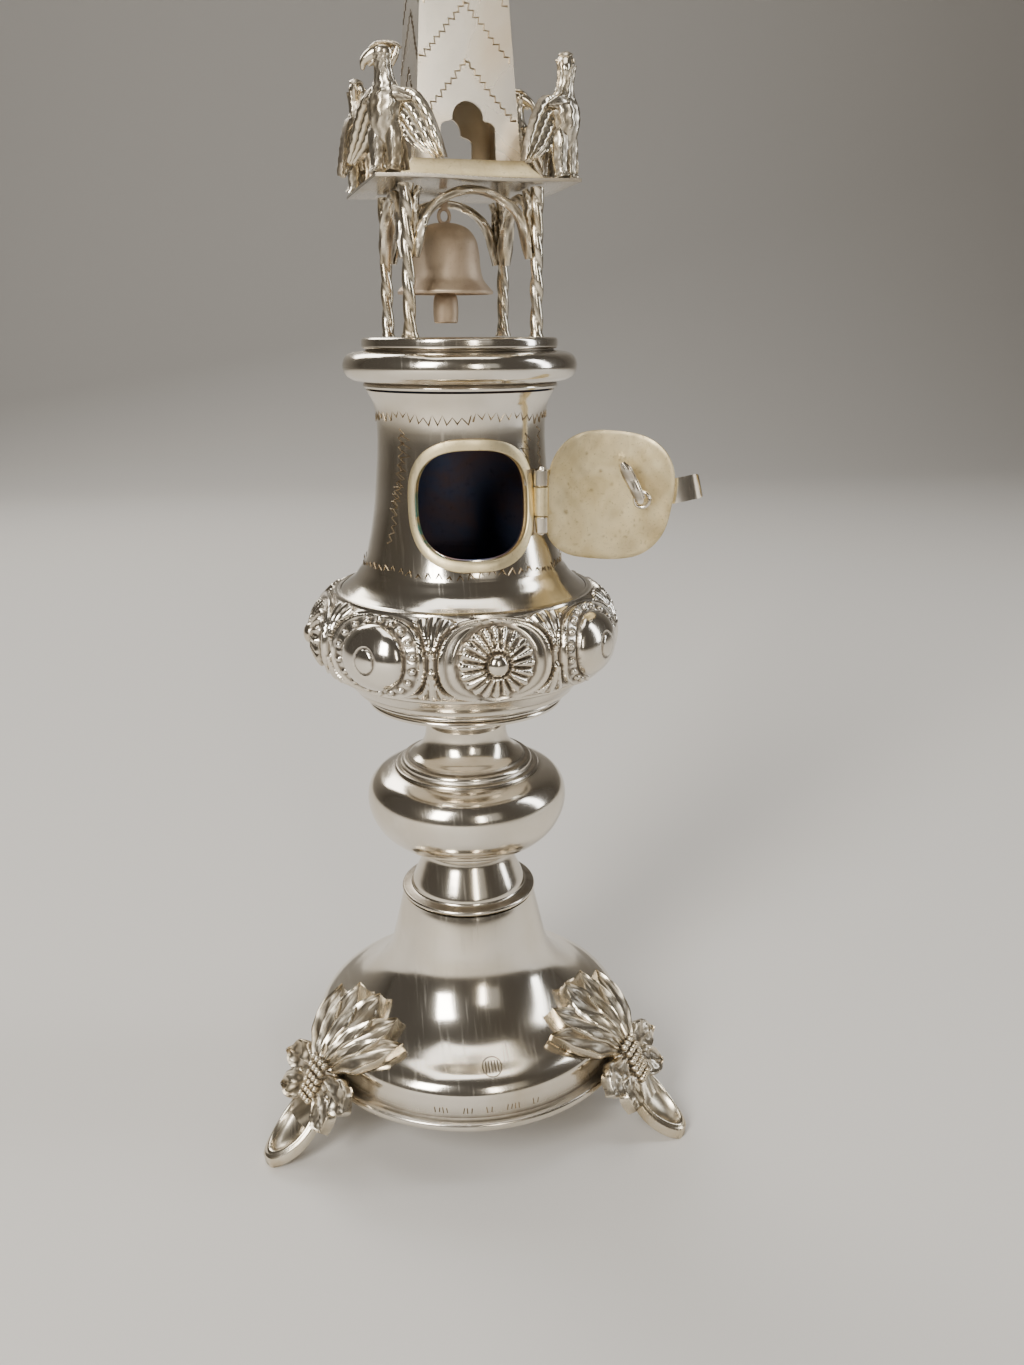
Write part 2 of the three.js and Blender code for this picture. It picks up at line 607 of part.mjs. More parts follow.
function spiceBody() {
  const floor = bodyLow + PLATE_THICK + LEDGE_HEIGHT;
  const bulb = [bulbStart, -50, -25, 0, 25, bulbEnd].map(bulbPoint);
  const inside = inset([...bulb, ...neckOutline().slice(1)], SHEET).filter((_, row) => row % 3 === 0);
  const rim = [neckOutline().pop()[0] - SHEET, bodyTop];
  const foot = [[0, bodyLow], ...ledgeOutline(), bulbPoint(bulbStart), bulbPoint(bandStart)];
  const upper = [...neckOutline(), rim, ...inside.reverse(), [0, floor]];
  const skins = [turnedSkin(foot), turnedSkin(upper)];
  for (let place = 0; place < MEDALLION_COUNT; place += 1) {
    skins.push(medallionSector(MEDALLION_TWIST + place * 360 / MEDALLION_COUNT, place % 2 === 0));
  }
  return toSolid(mergeGeometries(skins)).subtract(doorCutter(HOLE_WIDTH, HOLE_HEIGHT));
}

// Door frame, hinge and door. The hinge's axis is vertical.

const axis = hingeAxis();

function knuckle(low, high) {
  const bore = PIN_RADIUS + PLAY;
  const ring = [[bore, low], [KNUCKLE_RADIUS, low], [KNUCKLE_RADIUS, high], [bore, high]];
  return turned(ring, SMALL_SIDES).translate(axis.x, axis.y, 0);
}

// A strap from the hinge's axis towards the door opening, some way in from the door's middle layer.
function strap(low, high, length, from, to) {
  const geometry = new THREE.BoxGeometry(length, to - from, high - low);
  return geometry.translate(-length / 2, (from + to) / 2, (low + high) / 2)
    .rotateZ(Math.atan2(axis.x, -axis.y)).translate(axis.x, axis.y, 0);
}

const hingeLow = doorLine - HINGE_LENGTH / 2;
const hingeHigh = doorLine + HINGE_LENGTH / 2;
const middleLow = doorLine - MIDDLE_KNUCKLE / 2;
const middleHigh = doorLine + MIDDLE_KNUCKLE / 2;

// A round bar about the hinge's axis, between two heights.
function hingeBar(radius, low, high) {
  return new THREE.CylinderGeometry(radius, radius, high - low, SMALL_SIDES)
    .rotateX(Math.PI / 2).translate(axis.x, axis.y, (low + high) / 2);
}

function doorFrame() {
  const band = neckPatch(frameWidth, frameHeight, SEAM, FRAME_RAISE);
  const doorRoom = neckPatch(doorWidth + PLAY, doorHeight + PLAY,
    FRAME_RAISE + SEAM - PLAY / 2, FRAME_RAISE + 4 * KNUCKLE_RADIUS);
  const ears = [[hingeLow, middleLow - PLAY], [middleHigh + PLAY, hingeHigh]].map(([low, high]) => {
    const deep = DOOR_THICK / 2 + SEAM + FRAME_RAISE;
    const root = toSolid(strap(low, high, KNUCKLE_RADIUS + PLAY / 2, 0, deep));
    const plate = toSolid(strap(low, high, STRAP_LENGTH, DOOR_THICK / 2 + SEAM, deep));
    return toSolid(knuckle(low, high)).add(root.add(plate).subtract(doorRoom));
  });
  const bore = toSolid(hingeBar(PIN_RADIUS + PLAY, hingeLow - 1, hingeHigh + 1));
  const notch = toSolid(hingeBar(KNUCKLE_RADIUS + PLAY, middleLow - PLAY, middleHigh + PLAY));
  const clear = toSolid(turned([...neckOutline().map(([radius, z]) => [radius + SEAM, z]),
    [0, bodyTop], [0, bulbPoint(bulbEnd)[1]]], PATCH_SIDES));
  return band.subtract(doorCutter(HOLE_WIDTH, HOLE_HEIGHT)).add(ears[0]).add(ears[1])
    .subtract(notch).subtract(bore).subtract(clear);
}

function hingePin() {
  return new THREE.CylinderGeometry(PIN_RADIUS, PIN_RADIUS, HINGE_LENGTH + 0.8, SMALL_SIDES)
    .rotateX(Math.PI / 2).translate(axis.x, axis.y, doorLine);
}

// The stud's place on the shut door.
const doorInner = neckRadiusAt(doorLine) + FRAME_RAISE + SEAM;
const studAngle = -Math.asin((doorWidth / 2 - CATCH_INSET) / (doorInner + DOOR_THICK));

// Local axes of the catch: X towards the hinge, Y up, Z out of the door.
function catchPlace() {
  const out = new THREE.Vector3(Math.sin(studAngle), -Math.cos(studAngle), 0);
  const up = new THREE.Vector3(0, 0, 1);
  const hingeward = new THREE.Vector3().crossVectors(up, out);
  return new THREE.Matrix4().makeBasis(hingeward, up, out)
    .setPosition(out.clone().multiplyScalar(doorInner).setZ(doorLine));
}

function doorLeaf() {
  const inner = FRAME_RAISE + SEAM;
  const panel = neckPatch(doorWidth, doorHeight, inner, inner + DOOR_THICK);
  const notches = [[hingeLow - PLAY, middleLow], [middleHigh, hingeHigh + PLAY]].map(([low, high]) => (
    toSolid(hingeBar(KNUCKLE_RADIUS + PLAY, low, high))));
  const studHole = new THREE.CylinderGeometry(CATCH_STUD_RADIUS + PLAY, CATCH_STUD_RADIUS + PLAY, 6, 12)
    .rotateX(Math.PI / 2).applyMatrix4(catchPlace());
  const ear = joined([
    knuckle(middleLow, middleHigh),
    strap(middleLow, middleHigh, STRAP_LENGTH, -DOOR_THICK / 2, DOOR_THICK / 2),
  ]);
  return panel.subtract(notches[0]).subtract(notches[1]).add(ear)
    .subtract(toSolid(hingeBar(PIN_RADIUS + PLAY, hingeLow, hingeHigh))).subtract(toSolid(studHole));
}

// A flat bar with round ends, from the stud along an angle.
function bar(length, width, thick, degrees, low) {
  const shape = new THREE.Shape();
  shape.absarc(0, 0, width / 2, Math.PI / 2, Math.PI * 1.5, false);
  shape.absarc(length - width / 2, 0, width / 2, -Math.PI / 2, Math.PI / 2, false);
  const geometry = new THREE.ExtrudeGeometry(shape, { depth: thick, bevelEnabled: false, curveSegments: 3 });
  return geometry.rotateZ(radians(degrees)).translate(0, 0, low);
}

function doorCatch() {
  const barTop = -CATCH_DEPTH + CATCH_THICK;
  const tabLow = DOOR_THICK + CATCH_STAND;
  const studFoot = barTop - CATCH_THICK / 2;
  const studTop = tabLow + CATCH_THICK;
  const studLength = studTop - studFoot;
  const stud = new THREE.CylinderGeometry(CATCH_STUD_RADIUS, CATCH_STUD_RADIUS, studLength, SMALL_SIDES)
    .rotateX(Math.PI / 2).translate(0, 0, studFoot + studLength / 2);
  const inside = bar(CATCH_BAR, CATCH_WIDTH, CATCH_THICK, CATCH_BAR_ANGLE, -CATCH_DEPTH);
  const tab = bar(CATCH_TAB, CATCH_TAB_WIDTH * 0.6, CATCH_THICK, CATCH_TAB_ANGLE, tabLow);
  const thumb = new THREE.BoxGeometry(CATCH_TAB - CATCH_INSET, CATCH_TAB_WIDTH, CATCH_THICK)
    .translate((CATCH_TAB + CATCH_INSET) / 2, 0, tabLow + CATCH_THICK / 2).rotateZ(radians(CATCH_TAB_ANGLE));
  return joined([stud, inside, tab, thumb]);
}

// Collar

const collarLow = bodyTop + SEAM;
const collarTop = collarLow + STEP_HEIGHT + 2 * TORUS_ROUND + GROOVE_HEIGHT + DISC_THICK;

function collar() {
  const torusLine = collarLow + STEP_HEIGHT + TORUS_ROUND;
  const path = new THREE.Path();
  path.moveTo(0, collarLow);
  path.lineTo(STEP_RADIUS, collarLow);
  path.lineTo(STEP_RADIUS, torusLine - TORUS_ROUND);
  path.absarc(TORUS_RADIUS - TORUS_ROUND, torusLine, TORUS_ROUND, -Math.PI / 2, Math.PI / 2, false);
  path.lineTo(GROOVE_RADIUS, torusLine + TORUS_ROUND);
  path.lineTo(GROOVE_RADIUS, collarTop - DISC_THICK);
  path.lineTo(DISC_RADIUS - 0.3, collarTop - DISC_THICK);
  path.lineTo(DISC_RADIUS, collarTop - DISC_THICK + 0.3);
  path.lineTo(DISC_RADIUS, collarTop - 0.3);
  path.lineTo(DISC_RADIUS - 0.3, collarTop);
  path.lineTo(0, collarTop);
  return turned(curvePoints(path, 3));
}

// Lantern, in its own turned group

const columnLow = collarTop + SEAM;
const columnTop = columnLow + COLUMN_HEIGHT;
const platformLow = columnTop + SEAM;
const platformTop = platformLow + PLATFORM_THICK;

function column() {
  const steps = Math.ceil(COLUMN_TURNS * 8);
  const rings = Array.from({ length: steps + 1 }, (_, step) => {
    const share = step / steps;
    const turn = share * COLUMN_TURNS * 2 * Math.PI;
    const across = new THREE.Vector3(Math.cos(turn), Math.sin(turn), 0).multiplyScalar(COLUMN_RADIUS);
    const along = new THREE.Vector3(-Math.sin(turn), Math.cos(turn), 0).multiplyScalar(COLUMN_RADIUS * 0.7);
    return ovalRing(new THREE.Vector3(0, 0, columnLow + share * COLUMN_HEIGHT), across, along, 4);
  });
  return skinned(rings);
}

// One arch strip, standing in the plane Y = 0 between two columns.
function arch() {
  const half = COLUMN_SPREAD - COLUMN_RADIUS - SEAM;
  const crown = columnTop;
  const spring = platformLow - ARCH_SPRING;
  const end = platformLow - ARCH_LEG;
  const inner = half - ARCH_STRIP;
  const shape = new THREE.Shape();
  shape.moveTo(-half, end);
  shape.lineTo(-inner, end);
  shape.bezierCurveTo(-inner + 0.3, end + 5, -inner + 0.4, crown - ARCH_STRIP, 0, crown - ARCH_STRIP);
  shape.bezierCurveTo(inner - 0.4, crown - ARCH_STRIP, inner - 0.3, end + 5, inner, end);
  shape.lineTo(half, end);
  shape.lineTo(half, spring);
  shape.quadraticCurveTo(half - 1.2, crown, half - 4.2, crown);
  shape.lineTo(-half + 4.2, crown);
  shape.quadraticCurveTo(-half + 1.2, crown, -half, spring);
  const settings = { depth: ARCH_THICK, bevelEnabled: false, curveSegments: 3 };
  const geometry = new THREE.ExtrudeGeometry(shape, settings);
  return geometry.rotateX(Math.PI / 2).translate(0, ARCH_THICK / 2, 0);
}

// Bell and its clapper

const crownTop = platformLow - BELL_DROP;
const mouth = crownTop - BELL_HEIGHT;

function bell() {
  const path = new THREE.Path();
  path.moveTo(BELL_RADIUS, mouth);
  path.lineTo(BELL_RADIUS - 0.1, mouth + 0.5);
  path.quadraticCurveTo(BELL_RADIUS * 0.76, mouth + 1.6, BELL_RADIUS * 0.73, mouth + BELL_HEIGHT * 0.48);
  path.quadraticCurveTo(BELL_RADIUS * 0.66, crownTop, 0, crownTop);
  const outside = curvePoints(path, 3);
  const inside = inset(outside, BELL_WALL);
  inside[0] = [BELL_RADIUS - BELL_WALL, mouth];
  inside[inside.length - 1] = [0, crownTop - BELL_WALL];
  const shell = turned([...outside, ...inside.reverse()], 12);
  const wireLength = BELL_DROP - SEAM + BELL_WALL / 2;
  const wire = new THREE.CylinderGeometry(WIRE_RADIUS, WIRE_RADIUS, wireLength, 8)
    .rotateX(Math.PI / 2).translate(0, 0, crownTop - BELL_WALL / 2 + wireLength / 2);
  return joined([shell, wire]);
}

function clapper() {
  const low = mouth - CLAPPER_REACH;
  const drumTop = low + CLAPPER_DRUM;
  const top = crownTop - BELL_WALL - SEAM;
  return turned([
    [0, low], [CLAPPER_RADIUS * 0.85, low], [CLAPPER_RADIUS, low + 1.2], [CLAPPER_RADIUS, drumTop - 1],
    [CLAPPER_RADIUS * 0.8, drumTop], [WIRE_RADIUS * 0.7, drumTop + 0.2], [WIRE_RADIUS * 0.7, top], [0, top],
  ], SMALL_SIDES);
}

// Birds, modelled one unit high and facing -Y, with proportions as shares of the height

function wing(side) {
  const feathers = 2;
  const shape = new THREE.Shape();
  shape.moveTo(0.03, 0.62);
  shape.quadraticCurveTo(0.16, 0.72, 0.27, 0.66);
  shape.quadraticCurveTo(0.38, 0.5, 0.47, 0.2);
  for (let feather = 0; feather < feathers; feather += 1) {
    const share = (feather + 1) / feathers;
    const x = THREE.MathUtils.lerp(0.47, 0.1, share);
    const z = THREE.MathUtils.lerp(0.2, 0.34, share);
    shape.lineTo(x + 0.045, z - 0.005);
    shape.lineTo(x + 0.035, z + 0.045);
  }
  const plate = new THREE.ExtrudeGeometry(shape, { depth: 0.07, bevelEnabled: false, curveSegments: 2 });
  plate.rotateX(Math.PI / 2).translate(0, 0.06, 0).rotateZ(0.3);
  return side > 0 ? toSolid(plate) : toSolid(plate).mirror([1, 0, 0]);
}

function birdBody() {
  const trunk = limb(
    [[0, 0.06, 0.22], [0, -0.02, 0.5], [0, 0.01, 0.75], [0, -0.01, 0.9], [0, -0.02, 0.99]],
    [0.07, 0.13, 0.12, 0.05, 0.065, 0.035],
    [0.06, 0.12, 0.11, 0.05, 0.08, 0.04],
    5,
  );
  const beak = limb(
    [[0, 0.0, 0.935], [0, -0.12, 0.93], [0, -0.16, 0.86]],
    [0.04, 0.032, 0.01],
    [0.035, 0.032, 0.01],
    3,
  ).rotateZ(-1.1);
  const crest = limb(
    [[0, -0.05, 0.97], [0, 0.06, 1.0], [0, 0.14, 0.95]],
    [0.025, 0.035, 0.01],
    [0.02, 0.035, 0.015],
    3,
  ).rotateZ(-1.1);
  const legs = [-1, 1].map((side) => limb(
    [[side * 0.09, 0.0, 0.0], [side * 0.085, 0.01, 0.16], [side * 0.06, 0.02, 0.34]],
    [0.055, 0.05, 0.08],
    [0.065, 0.05, 0.075],
    3,
  ));
  const tail = limb(
    [[0, 0.08, 0.36], [0, 0.13, 0.2], [0, 0.15, 0.02]],
    [0.07, 0.1, 0.12],
    [0.04, 0.03, 0.025],
    4,
  );
  return joined([trunk, beak, crest, ...legs, tail]);
}

function bird() {
  const ground = new THREE.BoxGeometry(2, 2, 2).translate(0, 0, 1);
  const whole = birdBody().add(wing(1)).add(wing(-1)).intersect(toSolid(ground));
  return toGeometry(whole).scale(BIRD_HEIGHT, BIRD_HEIGHT, BIRD_HEIGHT);
}

// Spire and finial

const padLow = platformTop + SEAM;
const spireLow = padLow + PAD_HEIGHT + SEAM;
const spireTop = spireLow + SPIRE_HEIGHT;

function doorway() {
  const half = DOORWAY_WIDTH / 2;
  const head = DOORWAY_HEAD_WIDTH / 2;
  const springing = DOORWAY_HEIGHT - head;
  const shape = new THREE.Shape();
  shape.moveTo(-half, -1);
  shape.lineTo(half, -1);
  shape.lineTo(half, DOORWAY_SHOULDER - 0.8);
  shape.quadraticCurveTo(half, DOORWAY_SHOULDER, head, DOORWAY_SHOULDER);
  shape.absarc(0, springing, head, 0, Math.PI, false);
  shape.lineTo(-head, DOORWAY_SHOULDER);
  shape.quadraticCurveTo(-half, DOORWAY_SHOULDER, -half, DOORWAY_SHOULDER - 0.8);
  const cut = new THREE.ExtrudeGeometry(shape, { depth: SPIRE_SIDE, bevelEnabled: false, curveSegments: 4 });
  return cut.rotateX(Math.PI / 2).translate(0, -SPIRE_SIDE * 0.1, spireLow);
}

function spire() {
  const outside = toSolid(taper(SPIRE_SIDE, SPIRE_TIP_SIDE, spireLow, spireTop));
  const solidTip = SPIRE_HEIGHT * 0.14;
  const share = solidTip / SPIRE_HEIGHT;
  const innerTip = THREE.MathUtils.lerp(SPIRE_TIP_SIDE, SPIRE_SIDE, share) - 2 * SPIRE_WALL;
  const over = 1 + 1 / (SPIRE_HEIGHT - solidTip);
  const innerFoot = THREE.MathUtils.lerp(innerTip, SPIRE_SIDE - 2 * SPIRE_WALL, over);
  const inside = toSolid(taper(innerFoot, innerTip, spireLow - 1, spireTop - solidTip));
  let whole = outside.subtract(inside);
  for (let face = 0; face < 4; face += 1) {
    whole = whole.subtract(toSolid(doorway().rotateZ(face * Math.PI / 2)));
  }
  return whole;
}

function finial() {
  const low = spireTop + SEAM;
  const ballLine = low + 3.4;
  const half = SPIRE_TIP_SIDE / 2;
  const path = new THREE.Path();
  path.moveTo(0, low);
  path.lineTo(half + 0.9, low);
  path.lineTo(half + 0.9, low + 0.7);
  path.lineTo(half * 0.8, low + 1.2);
  path.absarc(0, ballLine, FINIAL_BALL, -1.25, 1.25, false);
  path.quadraticCurveTo(0.6, ballLine + 3.2, 0.35, low + FINIAL_HEIGHT);
  path.lineTo(0, low + FINIAL_HEIGHT);
  return turned(curvePoints(path, 2), 8);
}

// Assembly

const tower = new THREE.Group();

function place(name, shape, material, group = tower) {
  const geometry = shape.isBufferGeometry ? toGeometry(toSolid(shape)) : toGeometry(shape);
  const mesh = new THREE.Mesh(geometry, material);
  mesh.name = name;
  group.add(mesh);
  return mesh;
}

place("foot_dome", footDome(), silver);
const footShape = foot();
["foot_left", "foot_right", "foot_back"].forEach((name, index) => {
  const azimuth = firstFoot + index * 360 / FOOT_COUNT;
  place(name, footShape, castSilver).rotation.z = radians(azimuth);
});
place("stem_knop", stemKnop(), silver);
place("spice_body", spiceBody(), silver);
place("door_frame", doorFrame(), bareSilver);
place("hinge_pin", hingePin(), silver);

const doorGroup = new THREE.Group();
doorGroup.position.set(axis.x, axis.y, 0);
doorGroup.rotation.z = radians(DOOR_OPEN);
const doorInside = new THREE.Group();
doorInside.position.set(-axis.x, -axis.y, 0);
doorGroup.add(doorInside);
tower.add(doorGroup);
place("door", doorLeaf(), bareSilver, doorInside);
const catchGroup = new THREE.Group();
catchPlace().decompose(catchGroup.position, catchGroup.quaternion, catchGroup.scale);
doorInside.add(catchGroup);
place("door_catch", doorCatch(), silver, catchGroup);

place("collar", collar(), silver);

const lantern = new THREE.Group();
lantern.rotation.z = radians(LANTERN_TWIST);
tower.add(lantern);
for (let corner = 0; corner < 4; corner += 1) {
  const quarter = corner * Math.PI / 2;
  const shaft = place(`column_${corner + 1}`, column(), castSilver, lantern);
  shaft.position.set(-COLUMN_SPREAD, -COLUMN_SPREAD, 0).applyAxisAngle(new THREE.Vector3(0, 0, 1), quarter);
  const strip = place(`arch_${corner + 1}`, arch(), castSilver, lantern);
  strip.position.set(0, -COLUMN_SPREAD, 0).applyAxisAngle(new THREE.Vector3(0, 0, 1), quarter);
  strip.rotation.z = quarter;
}
place("bell", bell(), copper, lantern).position.x = BELL_OFFSET;
place("clapper", clapper(), copper, lantern).position.x = BELL_OFFSET;
place("platform", taper(PLATFORM_SIDE, PLATFORM_SIDE, platformLow, platformTop), silver, lantern);
const birdShape = bird();
for (let corner = 0; corner < 4; corner += 1) {
  const perch = PLATFORM_SIDE / Math.SQRT2 - BIRD_INSET;
  const angle = -Math.PI * 0.75 + corner * Math.PI / 2;
  const figure = place(`bird_${corner + 1}`, birdShape, castSilver, lantern);
  figure.position.set(perch * Math.cos(angle), perch * Math.sin(angle), platformTop + SEAM);
  figure.rotation.z = angle + Math.PI / 2;
}
place("spire_pad", taper(PAD_SIDE, PAD_TOP_SIDE, padLow, padLow + PAD_HEIGHT), silver, lantern);
place("spire", spire(), silver, lantern);
place("finial", finial(), silver, lantern);

// The origin is the middle of the whole footprint, at the height of the table.
const footprint = new THREE.Box3().setFromObject(tower, true);
const middle = footprint.getCenter(new THREE.Vector3());
const object = new THREE.Group();
object.add(tower);
tower.position.set(-middle.x, -middle.y, -footprint.min.z);

export default object;
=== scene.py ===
import math

import bmesh
import bpy
import numpy as np
from mathutils import Matrix, Vector


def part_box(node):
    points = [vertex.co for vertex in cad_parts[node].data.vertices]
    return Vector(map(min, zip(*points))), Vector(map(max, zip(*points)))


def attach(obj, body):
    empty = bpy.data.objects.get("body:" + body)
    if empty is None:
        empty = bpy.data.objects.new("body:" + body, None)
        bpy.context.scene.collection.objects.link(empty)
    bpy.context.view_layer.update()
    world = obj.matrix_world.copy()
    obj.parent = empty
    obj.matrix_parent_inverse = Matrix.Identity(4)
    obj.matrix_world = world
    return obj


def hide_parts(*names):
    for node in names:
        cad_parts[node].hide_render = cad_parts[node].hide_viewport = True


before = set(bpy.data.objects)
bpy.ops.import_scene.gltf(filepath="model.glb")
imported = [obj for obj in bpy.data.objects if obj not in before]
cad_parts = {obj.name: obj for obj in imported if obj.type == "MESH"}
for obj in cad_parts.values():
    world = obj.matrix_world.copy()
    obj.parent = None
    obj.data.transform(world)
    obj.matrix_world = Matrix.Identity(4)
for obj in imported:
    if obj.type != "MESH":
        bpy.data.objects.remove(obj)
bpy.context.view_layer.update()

# Sizes are in millimetres from the tower's axis at the table, the door opening faces -Y.
MM = 0.001
stem_low, stem_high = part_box("stem_knop")
AXIS = ((stem_low + stem_high) / 2).to_2d()
LANTERN_TWIST = 6
DOOR_OPEN = 172
WALL = 0.8
SIDES = 160  # of a turned skin
RING = 128  # points round the door opening
rng = np.random.default_rng(11)


# Geometry

def between(a, b, low, high, at):
    return (high - at) / (high - low) * a + (at - low) / (high - low) * b


def smooth(points, per=8):
    """A smooth curve through points, of any dimension."""
    p = np.asarray(points, float)
    if len(p) < 3:
        return p
    ends = np.vstack([2 * p[0] - p[1], p, 2 * p[-1] - p[-2]])
    out = []
    for i in range(len(p) - 1):
        q = ends[i:i + 4]
        gaps = np.maximum(np.linalg.norm(np.diff(q, axis=0), axis=1), 1e-6) ** 0.5
        t = np.concatenate([[0], np.cumsum(gaps)])
        for s in np.linspace(t[1], t[2], per, endpoint=False):
            a = [between(q[k], q[k + 1], t[k], t[k + 1], s) for k in range(3)]
            b = [between(a[k], a[k + 1], t[k], t[k + 2], s) for k in range(2)]
            out.append(between(b[0], b[1], t[1], t[2], s))
    out.append(p[-1])
    return np.array(out)


def outline(*runs, per=8):
    """Joins smooth runs of [radius, height] points, with a corner between two runs."""
    return np.vstack([smooth(run, per) for run in runs])


def grid_faces(rows, cols, wrap_rows=False, wrap_cols=False):
    r = np.arange(rows if wrap_rows else rows - 1)
    c = np.arange(cols if wrap_cols else cols - 1)
    r, c = (x.ravel() for x in np.meshgrid(r, c, indexing="ij"))
    r2, c2 = (r + 1) % rows, (c + 1) % cols
    return np.stack([r * cols + c, r * cols + c2, r2 * cols + c2, r2 * cols + c], 1)


def capped_faces(rows, cols):
    """The faces of a row of rings, closed at both ends."""
    count = rows * cols
    return [*grid_faces(rows, cols, False, True), range(cols)[::-1], range(count - cols, count)]


def lattice(grid, wrap_rows=False, wrap_cols=False):
    """A grid of points as a shell."""
    return grid.reshape(-1, 3), grid_faces(*grid.shape[:2], wrap_rows, wrap_cols)


def circle(count):
    return np.linspace(0, 2 * math.pi, count, endpoint=False)


def unit(value):
    return np.clip(value, 0, 1)


def polar(radius, angle, height):
    """Angles run from -Y towards +X."""
    radius, angle, height = np.broadcast_arrays(radius, angle, height)
    return np.stack([radius * np.sin(angle), -radius * np.cos(angle), height], -1)


def lathe(line, sides=SIDES, closed=False):
    return lattice(polar(line[:, :1], circle(sides), line[:, 1:2]), closed, True)


def offset(line, distance):
    along = np.gradient(line, axis=0)
    along /= np.maximum(np.linalg.norm(along, axis=1, keepdims=True), 1e-9)
    return line + distance * np.stack([along[:, 1], -along[:, 0]], 1)


def spin(points, degrees, centre=(0, 0)):
    a = math.radians(degrees)
    x, y = points[:, 0] - centre[0], points[:, 1] - centre[1]
    turned = points.copy()
    turned[:, 0] = centre[0] + x * math.cos(a) - y * math.sin(a)
    turned[:, 1] = centre[1] + x * math.sin(a) + y * math.cos(a)
    return turned


def tube(path, wide, deep, side=(1, 0, 0), around=16, per=6, ripple=None):
    """A limb along a path, its half-widths and half-depths given at the path's points."""
    line = smooth(np.column_stack([path, wide, deep]), per)
    centre, wide, deep = line[:, :3], line[:, 3:4], line[:, 4:5]
    along = np.gradient(centre, axis=0)
    along /= np.linalg.norm(along, axis=1, keepdims=True)
    depth = np.cross(along, side)
    depth /= np.linalg.norm(depth, axis=1, keepdims=True)
    across = np.cross(depth, along)
    angle = circle(around)
    share = np.linspace(0, 1, len(line))[:, None]
    grow = (ripple(angle, share) if ripple else np.ones((len(line), around)))[..., None]
    points = (centre[:, None] + across[:, None] * (np.cos(angle)[:, None] * wide[:, None] * grow)
              + depth[:, None] * (np.sin(angle)[:, None] * deep[:, None] * grow))
    points = points.reshape(-1, 3)
    # painted shade and tarnish in the ripple's dips
    dark = unit((1 - grow.ravel()) * 5) if ripple else np.zeros(len(points))
    return points, capped_faces(len(line), around), dark


def sheet_shell(top, under):
    """Closes two grids of the same size along their edges."""
    rows, cols = top.shape[:2]
    points = np.concatenate([top.reshape(-1, 3), under.reshape(-1, 3)])
    quads = grid_faces(rows, cols)
    faces = [list(q) for q in quads] + [list(q[::-1] + rows * cols) for q in quads]
    index = np.arange(rows * cols).reshape(rows, cols)
    rim = np.concatenate([index[0], index[1:, -1], index[-1, -2::-1], index[-2:0:-1, 0]])
    for a, b in zip(rim, np.roll(rim, -1)):
        faces.append([int(b), int(a), int(a + rows * cols), int(b + rows * cols)])
    return points, faces


def ball(centre, size, turn=None, rings=8):
    up = np.linspace(0, math.pi, rings + 1)[1:-1]
    around = circle(2 * rings)
    points = np.stack([np.sin(up)[:, None] * np.cos(around), np.sin(up)[:, None] * np.sin(around),
                       np.cos(up)[:, None] * np.ones_like(around)], -1).reshape(-1, 3)
    points = np.vstack([points, [[0, 0, 1], [0, 0, -1]]]) * np.asarray(size)
    if turn is not None:
        points = points @ np.asarray(turn).T
    n = 2 * rings
    faces = [list(q) for q in grid_faces(rings - 1, n, False, True)]
    top, foot = len(points) - 2, len(points) - 1
    faces += [[top, (k + 1) % n, k] for k in range(n)]
    last = (rings - 2) * n
    faces += [[foot, last + k, last + (k + 1) % n] for k in range(n)]
    return points + np.asarray(centre), faces


def stroke(points, normals, width, rise):
    """A thin prism along a polyline on a surface."""
    p = np.asarray(points, float)
    n = np.asarray(normals, float)
    along = np.gradient(p, axis=0)
    side = np.cross(along, n)
    side /= np.maximum(np.linalg.norm(side, axis=1, keepdims=True), 1e-9)
    ring = np.stack([p - side * width / 2 - n * 0.05, p + side * width / 2 - n * 0.05, p + n * rise], 1)
    return ring.reshape(-1, 3), capped_faces(len(p), 3)


def piece(name, shells, material, nodes=(), body="base", sharp=38, place=None):
    """One object made of shells, each of points, faces and, from 0 to 1, how dark (painted shade in hollows,
    under parts and between parts, with tarnish and stains) and how green it is.
    """
    points, faces, painted_shade_and_wear = [], [], []
    start = 0
    for shell in shells:
        p, f = shell[0], shell[1]
        dark = shell[2] if len(shell) > 2 else np.zeros(len(p))
        green = shell[3] if len(shell) > 3 else np.zeros(len(p))
        points.append(p)
        faces += [[int(i) + start for i in face] for face in f]
        painted_shade_and_wear.append(np.stack([dark, green, np.zeros(len(p)), np.ones(len(p))], 1))
        start += len(p)
    points = np.concatenate(points)
    if place is not None:
        points = place(points)
    mesh = bpy.data.meshes.new(name)
    spots = points * MM + np.array([AXIS.x, AXIS.y, 0])
    mesh.from_pydata(spots.tolist(), [], faces)
    # red channel: painted shade in hollows, under and between parts, with tarnish and stains; green channel:
    # green specks
    colour = mesh.color_attributes.new(name="painted_shade_and_wear", type="FLOAT_COLOR", domain="POINT")
    colour.data.foreach_set("color", np.concatenate(painted_shade_and_wear).astype(np.float32).ravel())
    work = bmesh.new()
    work.from_mesh(mesh)
    bmesh.ops.recalc_face_normals(work, faces=work.faces)
    work.to_mesh(mesh)
    work.free()
    mesh.polygons.foreach_set("use_smooth", [True] * len(mesh.polygons))
    mesh.set_sharp_from_angle(angle=math.radians(sharp))
    obj = bpy.data.objects.new(name, mesh)
    bpy.context.scene.collection.objects.link(obj)
    mesh.materials.append(material)
    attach(obj, body)
    if nodes:
        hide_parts(*nodes)


# Materials

GREEN = (0.05, 0.3, 0.27)


